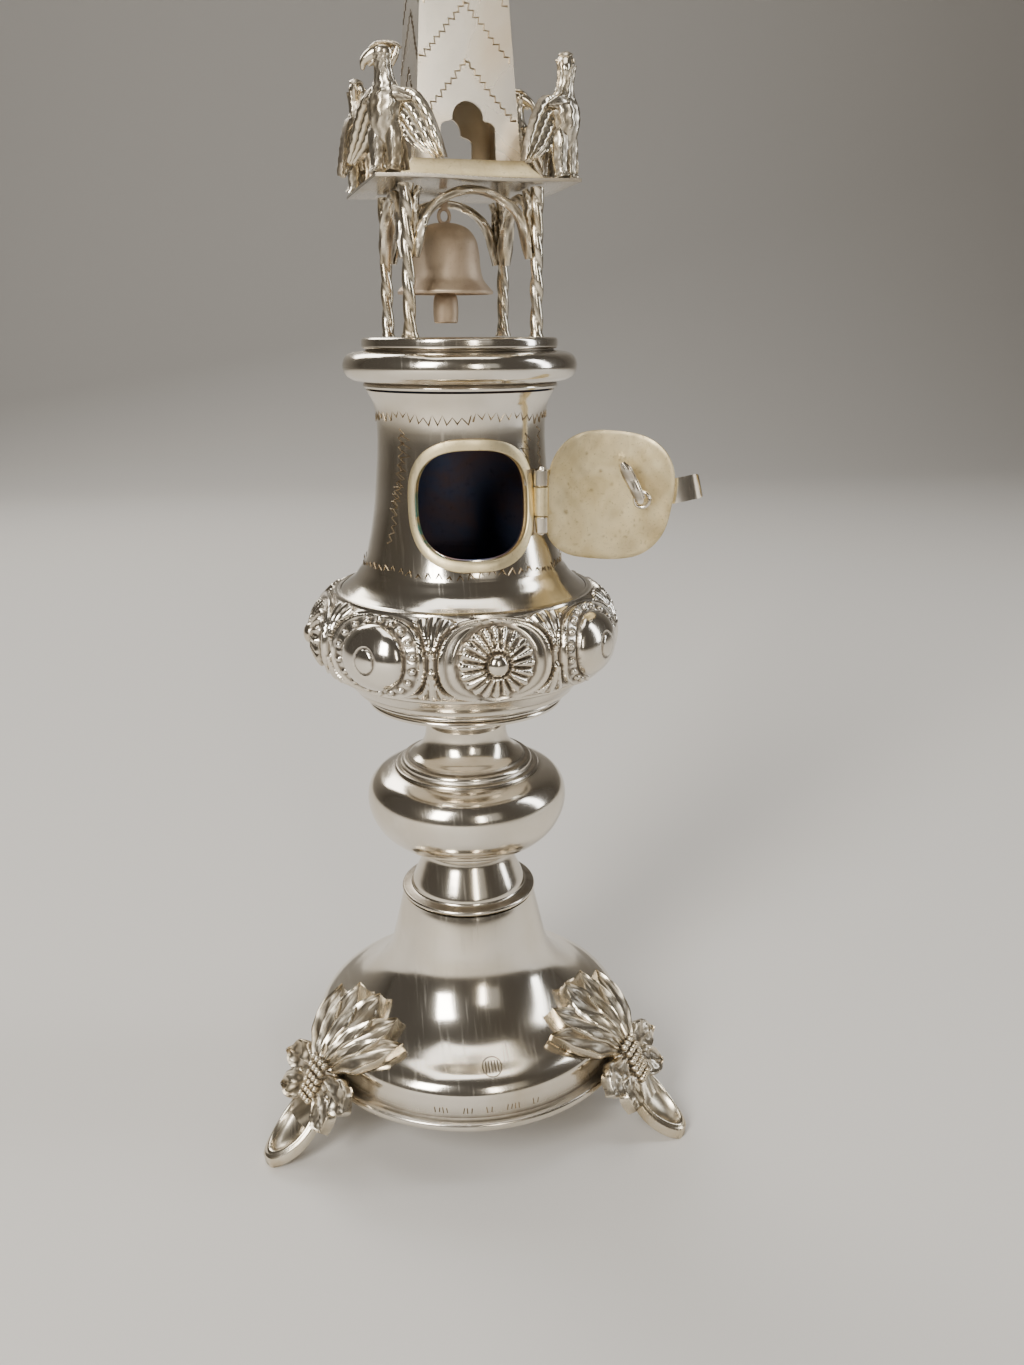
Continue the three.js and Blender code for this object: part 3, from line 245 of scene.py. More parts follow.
def metal(name, clean, tarnish, dark, rough, patches=55.0, dull=0.16, scratches=0.1, bump=0.1, specks=0.1):
    """A worn metal: tarnished in patches, darkened in its hollows by painted shade and tarnish, finely
    specked and scratched.
    """
    material = bpy.data.materials.new(name)
    material.use_nodes = True
    tree = material.node_tree
    nodes, links = tree.nodes, tree.links
    shader = nodes["Principled BSDF"]
    shader.inputs["Metallic"].default_value = 1.0
    coords = nodes.new("ShaderNodeTexCoord")

    def noise(scale, detail, distort=0.0, stretch=None):
        texture = nodes.new("ShaderNodeTexNoise")
        texture.inputs["Scale"].default_value = scale
        texture.inputs["Detail"].default_value = detail
        texture.inputs["Distortion"].default_value = distort
        source = coords.outputs["Object"]
        if stretch:
            mapping = nodes.new("ShaderNodeMapping")
            mapping.inputs["Scale"].default_value = stretch
            mapping.inputs["Rotation"].default_value = (0.4, 0.7, 0.3)
            links.new(source, mapping.inputs["Vector"])
            source = mapping.outputs["Vector"]
        links.new(source, texture.inputs["Vector"])
        return texture.outputs["Fac"]

    def ranged(value, low, high, to_low=0.0, to_high=1.0):
        node = nodes.new("ShaderNodeMapRange")
        node.inputs["From Min"].default_value = low
        node.inputs["From Max"].default_value = high
        node.inputs["To Min"].default_value = to_low
        node.inputs["To Max"].default_value = to_high
        links.new(value, node.inputs["Value"])
        return node.outputs["Result"]

    def mixed(factor, a, b):
        node = nodes.new("ShaderNodeMix")
        node.data_type = "RGBA"
        links.new(factor, node.inputs["Factor"])
        for socket, value in ((node.inputs["A"], a), (node.inputs["B"], b)):
            if isinstance(value, tuple):
                socket.default_value = (*value, 1.0)
            else:
                links.new(value, socket)
        return node.outputs["Result"]

    def combined(operation, *values):
        node = nodes.new("ShaderNodeMath")
        node.operation = operation
        for socket, value in zip(node.inputs, values):
            if isinstance(value, float):
                socket.default_value = value
            else:
                links.new(value, socket)
        return node.outputs[0]

    # the attribute's red channel is painted shade and tarnish in hollows, its green channel green specks
    painted_shade_and_wear = nodes.new("ShaderNodeAttribute")
    painted_shade_and_wear.attribute_name = "painted_shade_and_wear"
    split = nodes.new("ShaderNodeSeparateColor")
    links.new(painted_shade_and_wear.outputs["Color"], split.inputs["Color"])
    broad = noise(patches, 5.0, 0.6)
    fine = noise(patches * 14, 3.0)
    # painted shade and tarnish in hollows, mottled by fine noise
    hollow = combined("MULTIPLY", split.outputs["Red"], ranged(fine, 0.2, 0.8, 0.75, 1.0))
    colour = mixed(ranged(broad, 0.42, 0.72), clean, tarnish)
    colour = mixed(ranged(fine, 0.6, 0.8, 0.0, specks), colour, dark)
    colour = mixed(hollow, colour, dark)
    colour = mixed(split.outputs["Green"], colour, GREEN)
    links.new(colour, shader.inputs["Base Color"])
    lines = noise(40.0, 1.0, 0.0, (60.0, 3.0, 3.0))
    plain = combined("ADD", ranged(broad, 0.3, 0.75, rough, rough + dull),
                     ranged(lines, 0.58, 0.72, 0.0, scratches))
    links.new(combined("MULTIPLY_ADD", hollow, 0.35, plain), shader.inputs["Roughness"])
    relief = nodes.new("ShaderNodeBump")
    relief.inputs["Strength"].default_value = bump
    relief.inputs["Distance"].default_value = 0.00012
    links.new(combined("ADD", broad, ranged(lines, 0.6, 0.75, 0.0, 0.06)), relief.inputs["Height"])
    links.new(relief.outputs["Normal"], shader.inputs["Normal"])
    return material


SILVER = metal("polished_silver", (0.82, 0.77, 0.68), (0.66, 0.58, 0.45), (0.09, 0.065, 0.04), 0.1, 45.0, 0.1,
               0.06, 0.05, 0.05)
CAST = metal("cast_silver", (0.8, 0.73, 0.6), (0.6, 0.5, 0.34), (0.06, 0.042, 0.025), 0.16, 140.0, 0.12, 0.05,
             0.3, 0.15)
BARE = metal("bare_silver", (0.84, 0.72, 0.45), (0.66, 0.54, 0.3), (0.16, 0.1, 0.045), 0.34, 170.0, 0.16, 0.1,
             0.5, 0.5)
STROKES = metal("chased_strokes", (0.24, 0.19, 0.12), (0.14, 0.1, 0.06), (0.05, 0.035, 0.02), 0.3, 300.0)
COPPER = metal("coppery_bell", (0.6, 0.49, 0.37), (0.45, 0.35, 0.26), (0.2, 0.14, 0.09), 0.5, 160.0, 0.15,
               0.05, 0.6, 0.3)
SHEET = metal("spire_sheet", (0.82, 0.77, 0.68), (0.66, 0.55, 0.4), (0.2, 0.12, 0.06), 0.2, 60.0, 0.12, 0.0,
              0.05, 0.04)
# dark bluish inside of the container: painted shade, with tarnish patches
INSIDE = metal("shaded_tarnished_inside", (0.15, 0.18, 0.3), (0.38, 0.2, 0.1), (0.03, 0.03, 0.05), 0.5, 60.0, 0.2,
               0.05, 0.4, 0.3)


def strokes_on(name, lines, width, rise, place=None):
    piece(name, [stroke(points, normals, width, rise) for points, normals in lines], STROKES, place=place)


def grooved(name, line, grooves, nodes=(), depth=0.8, width=0.2, beyond=0.0):
    """A turned skin with painted shade and tarnish darkening its grooves, where they lie beyond a radius."""
    dark = np.zeros(len(line))
    for groove in grooves:
        dark = np.maximum(dark, depth * np.exp(-((line[:, 1] - groove) / width) ** 2))
    points, faces = lathe(line)
    piece(name, [(points, faces, np.repeat(dark * (line[:, 0] > beyond), SIDES))], SILVER, nodes)


# Base
DOME_SIDES = 192
dome_line = outline(
    [[31.9, 11.7], [32.35, 11.9], [32.5, 12.5], [32.3, 13.1], [31.7, 13.35]],
    [[31.2, 13.3], [30.75, 13.5]],
    [[30.6, 14.2], [30.5, 15.6], [30.35, 17.6], [29.6, 19.0], [28.2, 20.1], [25.6, 21.3], [22.4, 23.1],
     [19.3, 25.7],
     [17.0, 28.6], [15.6, 31.6], [14.6, 35.4], [13.7, 39.3], [12.9, 42.6], [12.6, 43.6]],
)
dome_inner = offset(dome_line, -WALL)
dome_inner[0] = [31.0, 11.7]
dome_inner[-1, 1] = 42.9
shell_line = np.vstack([dome_line, [[11.0, 43.7]], dome_inner[::-1]])
# painted shade and tarnish in the cove between the rim bead and the step
dome_dark = np.interp(shell_line[:, 1], [13.0, 13.5, 14.2, 16.0], [0.2, 0.8, 0.35, 0.0])
dome_points, dome_faces = lathe(shell_line, DOME_SIDES, True)
dome_lid = lathe(np.array([[0.01, 43.7], [11.5, 43.7], [11.5, 42.9], [0.01, 42.9]]), 64, True)
dome_dark = np.repeat(dome_dark, DOME_SIDES) * (dome_points[:, 2] < 20)
piece("dome_skin", [(dome_points, dome_faces, dome_dark), dome_lid], SILVER, ["foot_dome"])


def dome_at(height):
    order = np.argsort(dome_line[8:, 1])
    return np.interp(height, dome_line[8:, 1][order], dome_line[8:, 0][order])


def dome_normal(height):
    slope = (dome_at(height + 0.2) - dome_at(height - 0.2)) / 0.4
    n = np.array([1.0, -slope])
    return n / np.linalg.norm(n)


def dome_mark(angle, height, offsets):
    """A mark's points and normals over the base, from offsets [across, up] from its middle."""
    points, normals = [], []
    for across, up in offsets:
        z = height + up
        r = dome_at(z)
        a = angle + across / r
        n = dome_normal(z)
        points.append(polar(r, a, z))
        normals.append(polar(n[0], a, n[1]))
    return points, normals


RIM_MARKS, STAMP = 14.9, 20.9  # the heights of the row of marks and of the oval stamp
STAMP_ANGLE = 0.02
marks = []
place_on_row = -0.34
for count in (4, 3, 2, 4, 2):
    for k in range(count):
        lean = rng.uniform(-0.25, 0.25)
        high = rng.uniform(0.9, 1.25)
        marks.append(dome_mark(place_on_row, RIM_MARKS,
                               [(lean * t, high * (t - 0.5)) for t in np.linspace(0, 1, 5)]))
        place_on_row += 0.75 / 30.5
    place_on_row += 2.1 / 30.5
for k in range(5):
    marks.append(dome_mark(STAMP_ANGLE + (k - 2) * 0.55 / 26, STAMP,
                           [(0.0, 0.5 * t) for t in np.linspace(-1, 1, 5)]))
oval = [(1.75 * math.cos(t), 0.85 * math.sin(t)) for t in np.linspace(0, 2 * math.pi, 33)]
marks.append(dome_mark(STAMP_ANGLE, STAMP, oval))
strokes_on("base_strokes", marks, width=0.34, rise=0.07)

# Stem and knop
stem_line = outline(
    [[0.01, 44.0], [12.5, 44.0]],
    [[12.85, 44.15], [13.0, 44.5], [12.8, 44.9], [12.3, 45.0]],
    [[11.6, 45.1], [11.1, 45.3], [10.8, 46.3], [10.0, 48.2], [9.2, 50.0], [8.5, 51.6], [8.3, 52.4]],
    [[8.6, 52.6], [8.75, 52.85], [8.6, 53.1]],
    [[9.2, 53.2], [9.75, 53.45], [9.8, 53.9], [9.4, 54.2]],
    [[10.3, 54.4], [11.2, 54.75], [11.4, 55.1]],
    [[11.9, 55.1], [14.3, 56.1], [16.8, 58.3], [18.3, 61.0], [18.85, 63.8], [18.4, 66.4], [17.0, 68.3],
     [15.2, 69.3],
     [13.6, 69.8]],
    [[13.7, 70.1], [13.4, 70.45], [12.6, 70.5]],
    [[12.4, 70.8], [12.3, 71.3], [11.9, 71.7], [11.1, 71.8]],
    [[10.6, 72.3], [9.3, 73.2], [8.1, 74.8], [7.6, 76.6], [7.6, 78.2], [8.0, 79.3]],
    [[8.5, 79.4], [9.0, 79.7], [9.0, 80.1], [8.6, 80.4]],
    [[8.8, 80.6], [9.9, 81.4], [10.9, 82.3], [11.2, 82.9]],
    [[0.01, 82.9]],
)
stem_grooves = (45.05, 52.5, 53.15, 54.3, 55.1, 69.9, 70.6, 71.8, 79.35, 80.5)
grooved("stem_skin", stem_line, stem_grooves, ["stem_knop"], width=0.22)

# Spice container
BULB_LINE = 96.7
BULB_CORE = 19.3
BULB_WIDEST = 27.3
BULB_FROM, BULB_TO = -62, 70  # degrees up from the bulb's widest line
MEDALLIONS = 8
MEDALLION_TWIST = math.radians(4)
MEDALLION_TILT = 4


def bulb_at(degrees):
    a = np.radians(degrees)
    rise = np.where(np.asarray(degrees) > 0, 8.6, 8.0)
    return BULB_CORE + 8.0 * np.cos(a), BULB_LINE + rise * np.sin(a)


def bump_line(value, centre, width):
    return np.exp(-((value - centre) / width) ** 2)


def medallion_relief(across, up, flower):
    """How far the chased bulb stands out, in millimetres, over a medallion and its corners."""
    oval = ((np.abs(across) / 9.6) ** 2.5 + (np.abs(up) / 7.5) ** 2.5) ** (1 / 2.5)
    inside = oval < 1
    high = 0.55 * bump_line(oval, 0.95, 0.045) + np.where(inside, 0.15 + 0.3 * (1 - oval ** 2), 0.0)
    high -= 0.35 * bump_line(oval, 1.04, 0.035)
    d = np.hypot(across, up)
    turn = np.arctan2(up, across)
    if flower:
        petals = 20
        leaf = np.abs(np.cos(turn * petals / 2)) ** 0.7
        reach = unit((6.25 + 0.35 * np.cos(turn * petals) - d) / 0.5) * unit((d - 1.9) / 0.4)
        high += reach * (0.85 * leaf - 0.3 + 0.07 * np.cos(d * 2 * math.pi / 0.5) * leaf)
        high -= 0.35 * bump_line(d, 6.6, 0.4)
        high += np.sqrt(unit(1 - (d / 1.75) ** 2)) * 1.3
        high -= 0.3 * bump_line(d, 2.0, 0.2)
    else:
        oval_d = np.hypot(across, up * 1.07)
        high += 1.7 * np.sqrt(unit(1 - (oval_d / 6.1) ** 2))
        high -= 0.3 * bump_line(oval_d, 6.3, 0.25)
        high -= 0.22 * bump_line(d, 1.75, 0.16)
        high += np.where(d < 1.6, 0.1, 0.0)
        for k in range(18):
            a = (k + 0.5) / 18 * 2 * math.pi
            x, y = 7.75 * math.cos(a), 6.55 * math.sin(a)
            dot = ((across - x) / 0.62) ** 2 + ((up - y) / 0.55) ** 2
            high += 0.5 * np.sqrt(unit(1 - dot))
            high -= 0.12 * bump_line(np.sqrt(dot), 1.25, 0.25)
    half = math.pi * BULB_WIDEST / MEDALLIONS
    x = half - np.abs(across)
    for centre, reach, open_angle in ((0.4, 8.0, 0.46), (-0.4, 7.0, 0.5)):
        y = (up - centre) * np.sign(centre)
        far = np.hypot(x, y)
        fan = np.arctan2(x, np.maximum(y, 0.01))
        on = (y > 0) & (oval > 1.06)
        ribs = np.abs(np.cos(fan / open_angle * 3.0 * math.pi / 2))
        shape = unit((open_angle - fan) / 0.06) * unit((reach - far) / 0.5) * unit(far / 1.5)
        high += np.where(on, shape * (0.25 + 0.45 * ribs ** 0.8), 0)
        high += np.where(on, 0.35 * bump_line(fan, open_angle + 0.07, 0.05) * unit((reach - far) / 0.5), 0)
    return high


def blurred(field, size):
    total = np.zeros_like(field)
    for shift in range(-size, size + 1):
        total += np.roll(field, shift, axis=1)
    field = total / (2 * size + 1)
    total = np.zeros_like(field)
    for shift in range(-size, size + 1):
        total += np.take(field, np.clip(np.arange(field.shape[0]) + shift, 0, field.shape[0] - 1), axis=0)
    return total / (2 * size + 1)


band_cols = MEDALLIONS * 90
band_rows = 124
degrees = np.linspace(BULB_FROM, BULB_TO, band_rows)
azimuth = circle(band_cols)
sector = 2 * math.pi / MEDALLIONS
which = np.round((azimuth - MEDALLION_TWIST) / sector).astype(int) % MEDALLIONS
local = (azimuth - MEDALLION_TWIST + sector / 2) % sector - sector / 2
across_grid = np.broadcast_to(local * BULB_WIDEST, (band_rows, band_cols))
up_grid = np.broadcast_to(np.radians(degrees - MEDALLION_TILT)[:, None] * 8.3, (band_rows, band_cols))
relief = np.where(which % 2 == 0, medallion_relief(across_grid, up_grid, True),
                  medallion_relief(across_grid, up_grid, False))
fade = unit((8.35 - np.abs(up_grid)) / 0.5)
relief = relief * fade + 0.3 * bump_line(np.abs(up_grid), 8.5, 0.2)
# painted shade and tarnish where the chased relief sinks below its blurred self
hollow = unit((blurred(relief, 4) - relief) / 0.16) * 0.9
radius, height = bulb_at(degrees)
tilt = np.radians(degrees)
reach = radius[:, None] + relief * np.cos(tilt)[:, None]
points = polar(reach, azimuth, height[:, None] + relief * np.sin(tilt)[:, None])
piece("bulb_band", [(*lattice(points, False, True), hollow.ravel())], SILVER, ["spice_body"])

ledge_r, ledge_z = bulb_at(BULB_FROM)
ledge_line = outline(
    [[0.01, 83.2], [17.4, 83.2]],
    [[17.8, 83.35], [18.0, 83.8], [17.8, 84.2], [17.3, 84.4]],
    [[17.6, 84.5], [18.6, 84.8], [19.0, 85.2], [18.9, 85.5]],
    [[19.3, 85.6], [20.1, 86.2], [20.3, 86.9]],
    [[20.9, 87.2], [21.8, 88.2], [ledge_r - 0.05, ledge_z + 0.1]],
)
grooved("ledge_skin", ledge_line, (84.45, 85.55, 87.0, 89.4))

neck_r, neck_z = bulb_at(69)
neck_line = outline(
    [[neck_r - 0.05, neck_z - 0.1], [neck_r - 1.2, neck_z + 0.7], [19.6, 106.6], [18.4, 108.2]],
    [[17.9, 108.8], [17.45, 109.8], [16.6, 113.1], [15.65, 118.1], [15.05, 123.4], [14.65, 128.0],
     [14.5, 131.5],
     [14.6, 134.3], [15.0, 136.6], [15.8, 138.2], [16.1, 138.8]], per=10)


def neck_at(height):
    return np.interp(height, neck_line[:, 1], neck_line[:, 0])


DOOR_LINE = 121.1
HOLE = (17.7, 17.6)
BAND = 1.8
SIDE_BAND = 1.1
POWER = 2.8


def cushion(half_wide, half_high, angle):
    c, s = np.cos(angle), np.sin(angle)
    size = (np.abs(c) ** POWER + np.abs(s) ** POWER) ** (-1 / POWER)
    return half_wide * c * size, half_high * s * size


def on_neck(x, z, out):
    """A point over the neck, seen square from the door's side, and standing out from it."""
    r = neck_at(z)
    a = np.arcsin(np.clip(x / r, -1, 1))
    return polar(r + out, a, z)


def neck_with_hole(line):
    """The neck's skin: a turned sheet with a window, and rings that shrink from it to the door opening."""
    low_z, high_z = 109.9, 132.3
    half = 13.0
    lower = line[(line[:, 1] < low_z - 0.01)]
    upper = line[(line[:, 1] > high_z + 0.01)]

    def radius(height):
        return np.interp(height, line[:, 1], line[:, 0])

    out = []
    side = np.concatenate([[low_z], line[(line[:, 1] > low_z) & (line[:, 1] < high_z), 1], [high_z]])
    wide = np.arcsin(half / radius(DOOR_LINE))
    angles = np.linspace(wide, 2 * math.pi - wide, 110)
    around = np.linspace(-wide, wide, 40)
    full = np.concatenate([angles, around[1:-1] + 2 * math.pi])
    for part in ([*lower, [radius(low_z), low_z]], [[radius(high_z), high_z], *upper]):
        part = np.array(part)
        out.append(lattice(polar(part[:, :1], full, part[:, 1:2]), False, True))
    out.append(lattice(polar(radius(side)[:, None], angles, side[:, None])))
    window = np.concatenate([
        np.column_stack([around, np.full(40, low_z)]),
        np.column_stack([np.full(len(side) - 1, wide), side[1:]]),
        np.column_stack([around[::-1][1:], np.full(39, high_z)]),
        np.column_stack([np.full(len(side) - 2, -wide), side[::-1][1:-1]]),
    ])
    bearing = np.arctan2(window[:, 1] - DOOR_LINE, window[:, 0] * 15)
    hx, hz = cushion(HOLE[0] / 2, HOLE[1] / 2, bearing)
    inner = np.column_stack([np.arcsin(hx / radius(hz + DOOR_LINE)), hz + DOOR_LINE])
    share = np.linspace(0, 1, 8)[:, None, None]
    rings = inner * (1 - share) + window * share
    out.append(lattice(polar(radius(rings[..., 1]), rings[..., 0], rings[..., 1]), False, True))
    return out


piece("neck_skin", neck_with_hole(neck_line), SILVER)
inner_line = offset(neck_line, -WALL)
cup = outline([[0.01, 86.6], [12.0, 87.2], [19.0, 88.4], [23.6, 91.2], [26.2, 95.2], [26.1, 99.2],
               [23.4, 103.4], [19.4, 105.8],
               inner_line[0].tolist()])
piece("inner_skin", [*neck_with_hole(inner_line), lathe(cup, 96)], INSIDE)
ring_angle = circle(RING)


pin_low, pin_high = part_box("hinge_pin")
axis_point = np.array(((pin_low + pin_high) / 2).to_2d() - AXIS) / MM
hinge_out = math.atan2(axis_point[0], -axis_point[1])
# The frame's section as [out from the hole's edge, height over the neck, darkness, uneven darkness, green],
# the darkness being painted shade at the band's edges and where it tucks into the neck
section = [[0.9, -0.75, 0.9, 0, 0], [0.0, 0.7, 0.4, 0.5, 1], [0.02, 0.9, 0, 0.4, 0.7], [0.15, 1.02, 0, 0, 0],
           [0.8, 1.05, 0, 0, 0], [1.5, 1.02, 0, 0.1, 0], [1.72, 0.95, 0, 0.3, 0], [1.8, 0.75, 0.5, 0.3, 0],
           [1.8, 0.0, 0.9, 0, 0], [1.5, -0.4, 0.9, 0, 0]]
jitter = rng.uniform(0, 1, RING)
jitter = (jitter + np.roll(jitter, 1) + np.roll(jitter, -1)) / 3
left_side = unit(-np.cos(ring_angle - 0.5)) ** 2
specks = left_side * unit((jitter - 0.4) * 9)
points, dark, green = [], [], []
for out_by, high, plain, uneven, speckled in section:
    x, z = cushion(HOLE[0] / 2 + out_by * SIDE_BAND / BAND, HOLE[1] / 2 + out_by, ring_angle)
    points.append(on_neck(x, z + DOOR_LINE, high))
    # the plain darkness is painted shade at the band's edges and underside; the uneven part is random tone
    dark.append(plain + uneven * jitter)
    green.append(speckled * specks)
band = (*lattice(np.array(points), True, True), np.concatenate(dark), np.concatenate(green))
piece("frame_band", [band], BARE, ["door_frame"])


def on_hinge(shell):
    return shell[0] + np.array([*axis_point, 0]), shell[1]


def knuckle(low, high, radius=1.3, bevel=0.15):
    line = np.array([[0.5, low], [radius - bevel, low], [radius, low + bevel], [radius, high - bevel],
                     [radius - bevel, high], [0.5, high]])
    return on_hinge(lathe(line, 32, True))


def strap(low, high, length, near, far):
    """A plate from the hinge's axis along the neck, and how far it lies inward."""
    x, z = np.meshgrid(np.linspace(0, -length, 8), np.linspace(low, high, 6))
    p, f = sheet_shell(*(np.stack([x, np.full_like(x, y), z], -1) for y in (near, far)))
    return on_hinge((spin(p, math.degrees(hinge_out)), f))


HINGE_LOW, HINGE_HIGH = DOOR_LINE - 5.3, DOOR_LINE + 5.3
MID_LOW, MID_HIGH = DOOR_LINE - 2.4, DOOR_LINE + 2.4
EAR_STRAP = 2.2
ears = [knuckle(HINGE_LOW, MID_LOW - 0.15), knuckle(MID_HIGH + 0.15, HINGE_HIGH),
        strap(HINGE_LOW, MID_LOW - 0.3, EAR_STRAP, 0.85, 1.4),
        strap(MID_HIGH + 0.3, HINGE_HIGH, EAR_STRAP, 1.3, 1.85)]
piece("hinge_ears", ears, SILVER)
pin_line = np.array([[0.01, HINGE_LOW - 0.4], [0.4, HINGE_LOW - 0.4], [0.5, HINGE_LOW - 0.2],
                     [0.45, DOOR_LINE],
                     [0.5, HINGE_HIGH + 0.2], [0.4, HINGE_HIGH + 0.4], [0.01, HINGE_HIGH + 0.4]])
piece("pin_skin", [on_hinge(lathe(pin_line, 24))], SILVER, ["hinge_pin"])


def wriggle(track, normals, swing, step):
    """A zigzag along a track of points on a surface."""
    track = np.asarray(track, float)
    lengths = np.concatenate([[0], np.cumsum(np.linalg.norm(np.diff(track, axis=0), axis=1))])
    count = int(lengths[-1] / step)
    at = np.linspace(0, lengths[-1], count)
    points = np.stack([np.interp(at, lengths, track[:, k]) for k in range(3)], 1)
    out = np.stack([np.interp(at, lengths, np.asarray(normals)[:, k]) for k in range(3)], 1)
    out /= np.linalg.norm(out, axis=1, keepdims=True)
    along = np.gradient(points, axis=0)
    side = np.cross(along, out)
    side /= np.linalg.norm(side, axis=1, keepdims=True)
    sway = np.where(np.arange(count) % 2 == 0, 1, -1) * (0.75 + 0.35 * rng.uniform(-1, 1, count))
    return points + side * (sway * swing / 2)[:, None] + out * 0.02, out


def neck_wriggle(a, z, swing, step):
    return wriggle(polar(neck_at(z) + 0.02, a, z), polar(1.0, a, 0.0), swing, step)


lines = []
a, t = np.linspace(0, 2 * math.pi, 200), np.linspace(0, 1, 30)
for level, swing, step in ((134.9, 1.7, 0.8), (109.6, 1.9, 0.9)):
    lines.append(neck_wriggle(a, level + 0.35 * np.sin(a * 5) + 0.2 * np.sin(a * 13), swing, step))
for from_angle, to_angle in ((-50, -56), (56, 62), (128, 122), (-122, -128)):
    angles = np.radians(from_angle + (to_angle - from_angle) * t ** 1.5)
    lines.append(neck_wriggle(angles, 133.0 - 19.0 * t, 1.5, 0.7))
for from_angle, top_z, low_z in ((-46, 132.0, 119.0), (44, 131.8, 127.5)):
    lines.append(neck_wriggle(np.radians(from_angle - 9 * t ** 1.3), top_z + (low_z - top_z) * t, 2.2, 0.6))
strokes_on("neck_wriggle", lines, width=0.36, rise=0.06)


# Door, made shut and then opened about the hinge

def opened(points):
    return spin(points, DOOR_OPEN, axis_point)


DOOR_IN, DOOR_THICK = 1.4, 0.6
rings = np.linspace(0, 1, 44)[1:]
x_edge, z_edge = cushion(HOLE[0] / 2 + SIDE_BAND - 0.3, HOLE[1] / 2 + BAND + 0.6, ring_angle)
sway = math.radians(5)
x_edge, z_edge = (x_edge * math.cos(sway) - z_edge * math.sin(sway) + 0.25,
                  x_edge * math.sin(sway) + z_edge * math.cos(sway))


def leaf_row(share, out):
    return on_neck(x_edge * share, z_edge * share + DOOR_LINE, out)


def rounding(share):
    return 0.12 * max(0, share - 0.97) / 0.03


rows = np.array([leaf_row(s, DOOR_IN + rounding(s)) for s in rings]
                + [leaf_row(s, DOOR_IN + DOOR_THICK - rounding(s)) for s in rings[::-1]])
rows[..., 1] += (0.09 * np.sin(rows[..., 0] * 0.9 + 1) * np.sin(rows[..., 2] * 0.7)
                 + 0.03 * np.sin(rows[..., 0] * 2.3) * np.sin(rows[..., 2] * 1.9))
points = rows.reshape(-1, 3)
smudges = [(-5.5, 8.3, 2.0, 0.35), (-7.6, 1.5, 2.6, 0.3), (-8.0, -5.5, 2.4, 0.4), (-4.0, -8.6, 1.8, 0.3),
           (2.0, 9.0, 2.2, 0.3), (-1.0, -3.0, 1.2, 0.2), (-6.3, -1.8, 1.3, 0.3), (5.6, 3.0, 1.6, 0.15)]
for _ in range(46):
    x0, z0, depth = rng.uniform(-8, 8), rng.uniform(-9, 9), rng.uniform(0.3, 0.8)
    smudges.append((x0, z0, rng.uniform(0.16, 0.3), depth))
dark = np.concatenate([0.45 * max(0, s - 0.9) / 0.1 * (0.2 + jitter) for s in rings]
                      + [np.zeros(RING)] * len(rings))
for x0, z0, size, depth in smudges:
    away = np.hypot(points[:, 0] - x0, points[:, 2] - DOOR_LINE - z0)
    dark = np.maximum(dark, depth * np.exp(-(away / size) ** 2))
leaf = (points, capped_faces(len(rows), RING), dark)
door_shells = [leaf, knuckle(MID_LOW, MID_HIGH), strap(MID_LOW, MID_HIGH, 3.3, -0.3, 0.3)]
piece("door_leaf", door_shells, BARE, ["door"], "door", place=opened)

OVERHANG, CATCH_INSET = 0.3, 3.8  # of the door past the frame, and from the door's edge to the catch's stud
door_inner = float(neck_at(DOOR_LINE)) + DOOR_IN
stud_angle = -math.asin((HOLE[0] / 2 + SIDE_BAND + OVERHANG - CATCH_INSET) / (door_inner + DOOR_THICK))
out_dir = np.array([math.sin(stud_angle), -math.cos(stud_angle), 0])
hinge_dir = np.cross([0, 0, 1], out_dir)


def catch_place(points):
    """From the catch's own axes, X to the hinge, Y up and Z out, to the opened door."""
    flat = out_dir * door_inner + np.array([0, 0, DOOR_LINE])
    world = flat + points[:, :1] * hinge_dir + points[:, 1:2] * np.array([0, 0, 1]) + points[:, 2:3] * out_dir
    return opened(world)


bar_turn = math.radians(60)
bar_dir = np.array([math.cos(bar_turn), math.sin(bar_turn), 0])
t = np.linspace(0, 1, 7)
path = bar_dir * (7.0 * t[:, None]) + np.array([0, 0, 1]) * (-3.35 + 0.25 * np.sin(t * 2.4)[:, None])
bar_shell = tube(path, [0.8, 0.95, 1.02, 1.05, 1.05, 0.95, 0.55], [0.4, 0.48, 0.5, 0.5, 0.48, 0.42, 0.28],
                 side=np.cross(bar_dir, [0, 0, 1]), around=18)
bar_shell = (*bar_shell[:2], np.clip(0.35 + 0.5 * np.sin(bar_shell[0][:, 1] * 1.9), 0, 0.7))
stud_sizes = [0.55, 0.5, 0.5, 0.5]
stud_shell = tube([[0, 0, -3.6], [0, 0, -1.5], [0, 0, 0.7], [0, 0, 1.3]], stud_sizes, stud_sizes, around=18)
coil_t = np.linspace(0, 2 * math.pi * 1.15, 26)
coil = np.stack([1.25 * np.cos(coil_t), 1.25 * np.sin(coil_t), -2.3 - 0.06 * coil_t], 1)
coil_shell = tube(coil, np.full(26, 0.34), np.full(26, 0.34), side=(0, 0, 1), around=10, per=2)
tab_turn = math.radians(166)
tab_dir = np.array([math.cos(tab_turn), math.sin(tab_turn), 0])
tab_side = np.array([-math.sin(tab_turn), math.cos(tab_turn), 0])
along = np.linspace(-1.2, 9.2, 30)
lift = 1.65 + 0.7 * unit((along - 4.5) / 4.3) ** 2 - 0.5 * unit((along - 7.9) / 1.2) ** 2
half = np.interp(along, [-1.2, -0.6, 1.0, 3.0, 4.5, 8.8, 9.2], [0.5, 1.1, 1.35, 1.9, 2.1, 2.05, 1.85])
v = np.linspace(-1, 1, 7)
grid = along[:, None, None] * tab_dir + (half[:, None] * v)[..., None] * tab_side
top = grid + (lift[:, None] + 0.3 - 0.12 * v ** 4)[..., None] * np.array([0, 0, 1])
under = grid + (lift - 0.25)[:, None, None] * np.array([0, 0, 1])
catch_shells = [bar_shell, stud_shell, coil_shell, sheet_shell(top, under)]
piece("catch_skin", catch_shells, SILVER, ["door_catch"], body="catch", place=catch_place)

